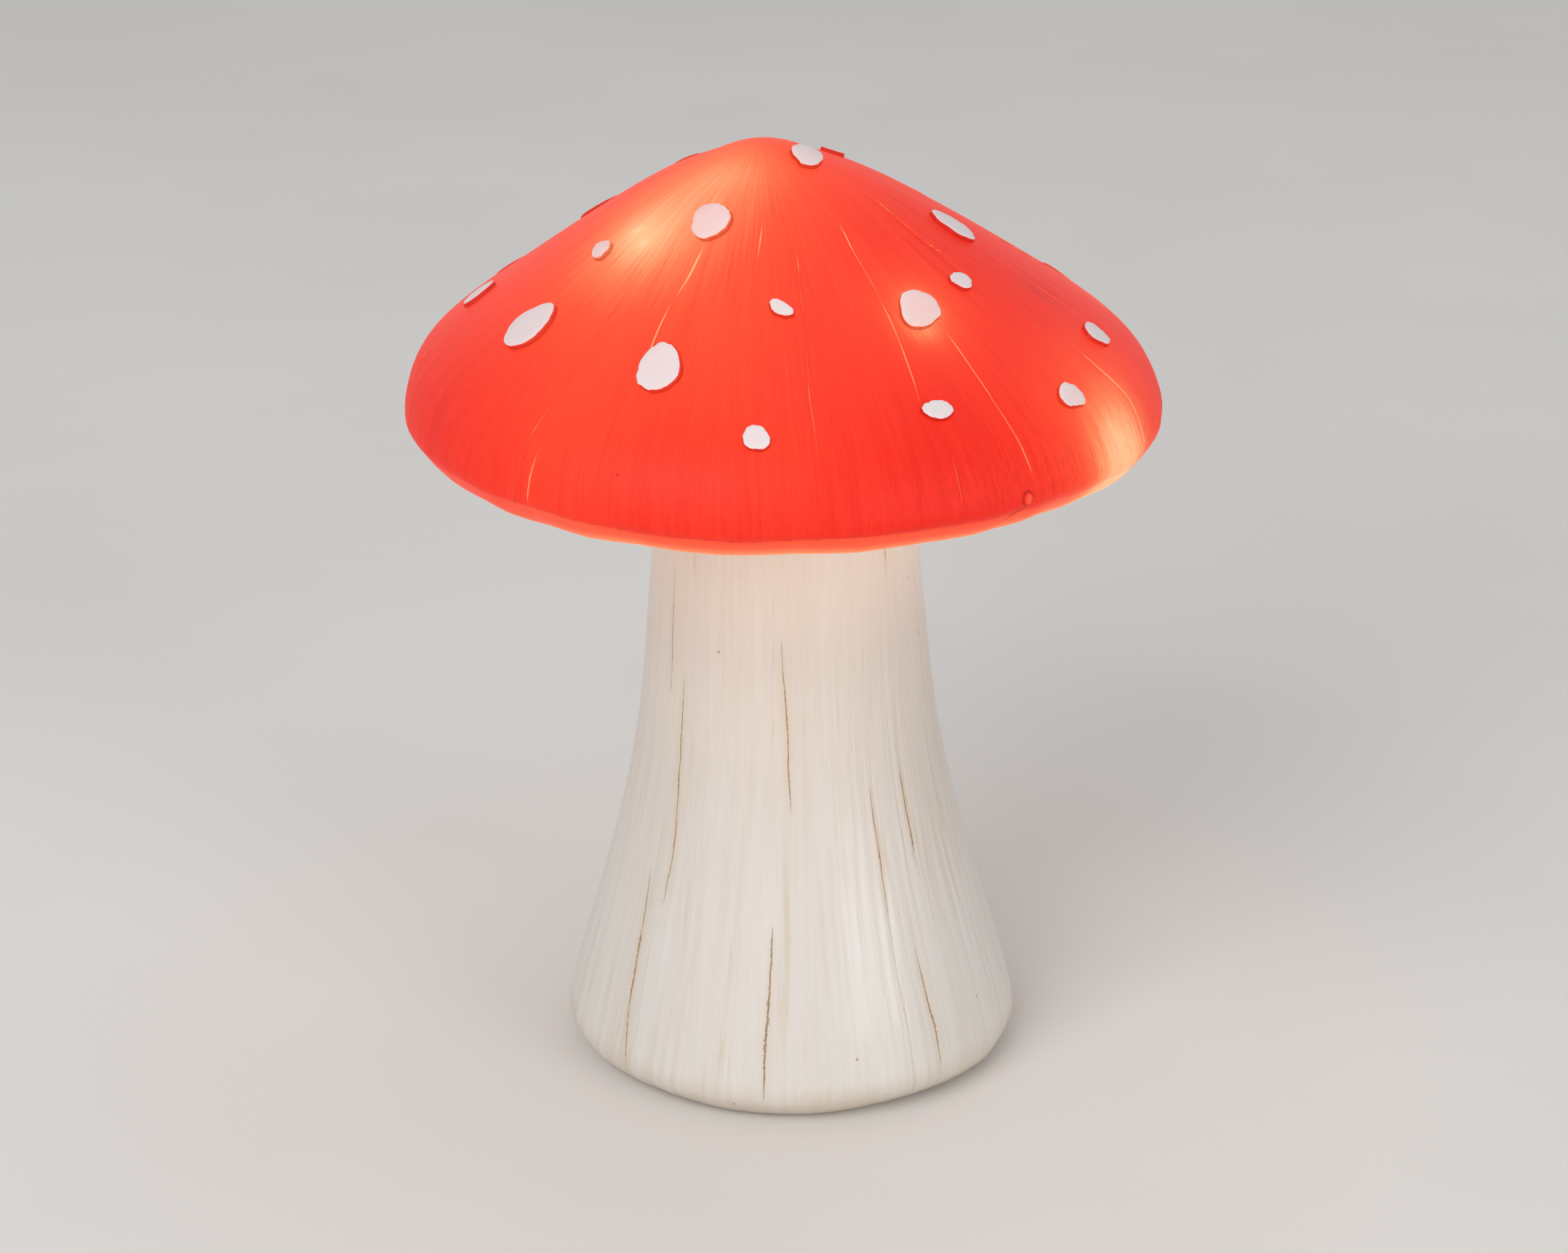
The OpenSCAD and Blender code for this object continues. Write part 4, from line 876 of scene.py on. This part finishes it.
# Painted light: a warm glow, stronger towards the rim, for the cap's light falling on the underside
warm = add("ValToRGB", out_at, stops=[(0, "#4a2a1c"), (1, "#8a3c26"), (0.6, "#5a3020")])
pits = add("Bump", Strength=0.3, Distance=pit_depth, Height=mottle)
feed(shader, Base_Color=cast, Emission_Color=warm, Normal=pits)
realised(gill, ring_of_copies(), {"Copies": gill_count, "First turn": 0.0, "Finish": bare})
boss_turn = np.radians(np.arange(32) * 360 / 32)
boss_edge = 0.4 * mm
boss_top, boss_foot = stem_z + boss_h, stem_z + under_t / 2
boss_line = [(boss_r - boss_edge, boss_top), (boss_r, boss_top - boss_edge), (boss_r, boss_foot)]
bosses = []
for k in range(3):
    turned = math.radians(k * 120)
    middle = np.array([boss_at * math.cos(turned), boss_at * math.sin(turned), 0])
    rings = np.stack([middle + around(boss_turn, r, z) for r, z in boss_line])
    bosses.append(lathe("boss", rings, [middle + [0, 0, boss_top], middle + [0, 0, boss_foot]]))
absorb(underside, gill, *bosses)
underside.data.materials.append(bare)
underside.data.set_sharp_from_angle(angle=math.radians(40))
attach(underside, "stand")
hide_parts("cap_underside")


# Base plate and battery lid: moulded in pale ABS with a fine spark texture, which hides scratches.
# The plate is screwed up into the foot on a foam ring, and the lid is held by two captive screws.
def moulded(name, dark, pale, grain, depth, rough, ior):
    """Two close shades in a fine grain, of a size and depth in mm, with the same grain in the surface"""
    material, add, shader, place = finish(name, Roughness=rough, IOR=ior)
    grain, depth = grain * mm, depth * mm
    spark = add("TexNoise", Vector=place, Scale=1 / grain, Detail=4, Roughness=0.7)
    drift = add("TexNoise", Vector=place, Scale=1 / (30 * grain), Detail=2)
    both = add("Math.MULTIPLY", spark, drift)
    tint = add("ValToRGB", both, stops=[(0.12, dark), (0.4, pale)])
    sheen = add("MapRange", spark, 0, 1, rough - 0.12, rough + 0.12)
    skin = add("Bump", Strength=0.6, Distance=depth, Height=spark)
    feed(shader, Base_Color=tint, Roughness=sheen, Normal=skin)
    return material


def dress(material, *names):
    """Gives a finish to pieces that keep the shape of their solids"""
    for name in names:
        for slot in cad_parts[name].material_slots:
            slot.material = material


dress(
    moulded("spark-textured ABS, pale", "#b3aa9b", "#cfc7b8", 0.7, 0.08, 0.55, 1.54), "base_plate",
    "battery_lid")
dress(moulded("closed-cell foam rubber", "#1c1c1d", "#343436", 0.9, 0.3, 0.9, 1.5), "base_seal", "lid_seal")

# Battery box: moulded in dark grey ABS without texture, screwed to the plate by its flange
dress(moulded("dark ABS, as moulded", "#26272a", "#3a3b3f", 2.5, 0.03, 0.4, 1.54), "battery_box")
# Switch knob: moulded in black POM, a hard and slightly waxy plastic
dress(moulded("black POM", "#0d0d0e", "#1b1b1c", 0.5, 0.03, 0.42, 1.48), "switch_knob")
# Grommet: moulded rubber, matt, pushed into the hole of the underside
dress(moulded("moulded rubber", "#161616", "#2a2a2a", 0.8, 0.06, 0.75, 1.52), "wire_grommet")


# Screws and washers: cold-formed steel with bright zinc plating, which is faintly blue and streaked
def plated(name, dark, pale, rough, grain=0.6):
    """Metal whose plating or drawing left fine streaks across it, of a size in mm"""
    material, add, shader, place = finish(name, Metallic=1, Roughness=rough)
    grain, depth = grain * mm, 0.02 * mm
    drawn = add("Mapping", Vector=place, Scale=(1, 0.12, 1))
    streaks = add("TexNoise", Vector=drawn, Scale=1 / grain, Detail=4, Roughness=0.6)
    tint = add("ValToRGB", streaks, stops=[(0.3, dark), (0.7, pale)])
    sheen = add("MapRange", streaks, 0, 1, rough - 0.1, rough + 0.15)
    skin = add("Bump", Strength=0.4, Distance=depth, Height=streaks)
    feed(shader, Base_Color=tint, Roughness=sheen, Normal=skin)
    return material


dress(
    plated("bright zinc on steel", "#9fa4a8", "#c9ccce", 0.32), "cap_screws", "base_screws", "box_screws",
    "board_screws", "lid_screw_front", "lid_screw_back", "cap_washers")
# Contacts and springs: spring steel with bright nickel, warmer and smoother than zinc
dress(
    plated("bright nickel on spring steel", "#b5aea2", "#d8d2c6", 0.22), "contact_plates",
    "contact_springs")
# Inserts: turned from brass bar, with the turning marks left on
dress(plated("turned brass", "#9c7a38", "#c9a45c", 0.3, 0.35), "lid_inserts")
# Switch body: a folded can of tinned steel, a little dull
dress(plated("tinned steel", "#8f9193", "#b9bbbc", 0.42), "switch_body")

# Cells: three AA cells in plain printed foil sleeves, which stop short of the ends, where the metal shows
sleeve_end = 24.2 * mm
sleeve_edge = 0.1 * mm
wear_w = 2 * mm
foil, add, shader, place = finish("printed foil sleeve over steel", IOR=1.5)
reach = add("Math.ABSOLUTE", add("SeparateXYZ", place).outputs["Y"])
bare_end = add("MapRange", reach, sleeve_end, sleeve_end + sleeve_edge)
wear = add("TexNoise", Vector=place, Scale=1 / wear_w, Detail=4)
printed = add("ValToRGB", wear, stops=[(0.3, "#2c5a50"), (0.7, "#356b5f")])
tint = add("Mix", bare_end, printed, colour("#c4c2bd"), data_type="RGBA")
sheen = add("MapRange", wear, 0, 1, 0.28, 0.43)
feed(shader, Base_Color=tint, Metallic=bare_end, Roughness=sheen)
dress(foil, "battery_left", "battery_middle", "battery_right")

# Timer board: glass laminate under green solder mask, with copper tracks that show through as paler green.
# Its chip and resistors are moulded in black epoxy, and the capacitor is a can in a shrunk sleeve.
track_w = 6 * mm
weave_w = 0.8 * mm
mask_h = 0.04 * mm
board, add, shader, place = finish("green solder mask over copper", Roughness=0.3, IOR=1.55)
tracks = add(
    "TexBrick", Vector=place, Color1=colour("#14603a"), Color2=colour("#135536"), Mortar=colour("#2f8a55"),
    Scale=1 / track_w, Mortar_Size=0.06, Brick_Width=0.9, Row_Height=0.35)
weave = add("TexNoise", Vector=place, Scale=1 / weave_w, Detail=3)
raised = add("Bump", Strength=0.5, Distance=mask_h, Height=tracks.outputs["Fac"])
gloss = add("MapRange", weave, 0, 1, 0.22, 0.4)
feed(shader, Base_Color=tracks.outputs["Color"], Roughness=gloss, Normal=raised)
dress(board, "timer_board")
dress(
    moulded("moulded black epoxy", "#101012", "#232326", 0.4, 0.02, 0.5, 1.55), "board_chip",
    "board_resistors")
dress(moulded("shrunk blue sleeve", "#14224a", "#1d3060", 1.2, 0.02, 0.3, 1.5), "board_capacitor")
# Leads and string: stranded copper in smooth PVC, red and black in the foot and clear in the cap
dress(moulded("red PVC insulation", "#8c1210", "#a81c18", 1.5, 0.02, 0.38, 1.53), "lead_red")
dress(moulded("black PVC insulation", "#0e0e0e", "#1d1d1d", 1.5, 0.02, 0.38, 1.53), "lead_black")
dress(moulded("clear PVC over copper", "#b99c78", "#d8cbb2", 1.2, 0.02, 0.25, 1.53), "string_wire")
# Lamps: clear epoxy over a warm white chip, lit, in collars of natural nylon that are glued to the cap
chip_w = 4 * mm
epoxy, add, shader, place = finish("lit epoxy lamp", Roughness=0.15, IOR=1.54, Emission_Strength=1)
core = add("TexNoise", Vector=place, Scale=1 / chip_w, Detail=2)
feed(
    shader, Base_Color=add("ValToRGB", core, stops=[(0.3, "#f2e2b8"), (0.7, "#fff6dc")]),
    Emission_Color=add("ValToRGB", core, stops=[(0.3, "#c89040"), (0.7, "#ffe0a0")]))
dress(epoxy, "string_lamps")
dress(moulded("natural nylon", "#cfcabb", "#e2ded2", 1.5, 0.03, 0.45, 1.53), "lamp_collars")

# Studio: a pale floor, soft light from the front and above, and the photograph's camera.
# The background's brightness is for camera, mirror and glass rays alone.
floor_size = 9.0
half = floor_size / 2
corners = [(-half, -half, 0), (half, -half, 0), (half, half, 0), (-half, half, 0)]
floor = solid("floor", corners, [(0, 1, 2, 3)], rounded=False)
matt, add, shader, place = finish("pale matt floor", Roughness=0.8, IOR=1.4)
dust = add("TexNoise", Vector=place, Scale=3.0, Detail=3)
feed(shader, Base_Color=add("ValToRGB", dust, stops=[(0.3, "#e6e4e1"), (0.7, "#ebe9e6")]))
floor.data.materials.append(matt)

world = bpy.data.worlds.new("studio")
world.use_nodes = True
bpy.context.scene.world = world
add = partial(add_node, world.node_tree)
rays = add("LightPath").outputs
seen = add("Math.MAXIMUM", rays["Is Camera Ray"], rays["Is Glossy Ray"])
seen = add("Math.MAXIMUM", seen, rays["Is Transmission Ray"])
strength = add("MapRange", seen, 0, 1, 0.46, 0.85)
feed(world.node_tree.nodes["Background"], Color=colour("#f4f4f4"), Strength=strength)

# Softboxes: name, place in metres, size and power in watts, all turned to the lamp's middle
aim = np.array([0, 0, 171.9 * mm])
softboxes = [
    ("key", (-1.5, -2.4, 1.9), 2.2, 56), ("fill", (2.0, -2.1, 0.8), 1.5, 23),
    ("top", (0.3, 0.9, 2.8), 2.0, 10)]
for name, spot_at, size, power in softboxes:
    softbox = bpy.data.lights.new(name, "AREA")
    softbox.energy = power
    softbox.size = size
    lamp = bpy.data.objects.new(name, softbox)
    bpy.context.collection.objects.link(lamp)
    lamp.location = spot_at
    lamp.rotation_euler = (Vector(aim) - Vector(spot_at)).to_track_quat("-Z", "Y").to_euler()

camera_up = math.radians(22.05)
camera_far = 1477 * mm
camera = bpy.data.cameras.new("camera")
camera.lens = 87.63
viewer = bpy.data.objects.new("camera", camera)
bpy.context.collection.objects.link(viewer)
viewer.location = aim + camera_far * np.array([0, -math.cos(camera_up), math.sin(camera_up)])
viewer.rotation_euler = (math.pi / 2 - camera_up, 0, 0)
bpy.context.scene.camera = viewer
bpy.context.scene.view_settings.view_transform = "Standard"
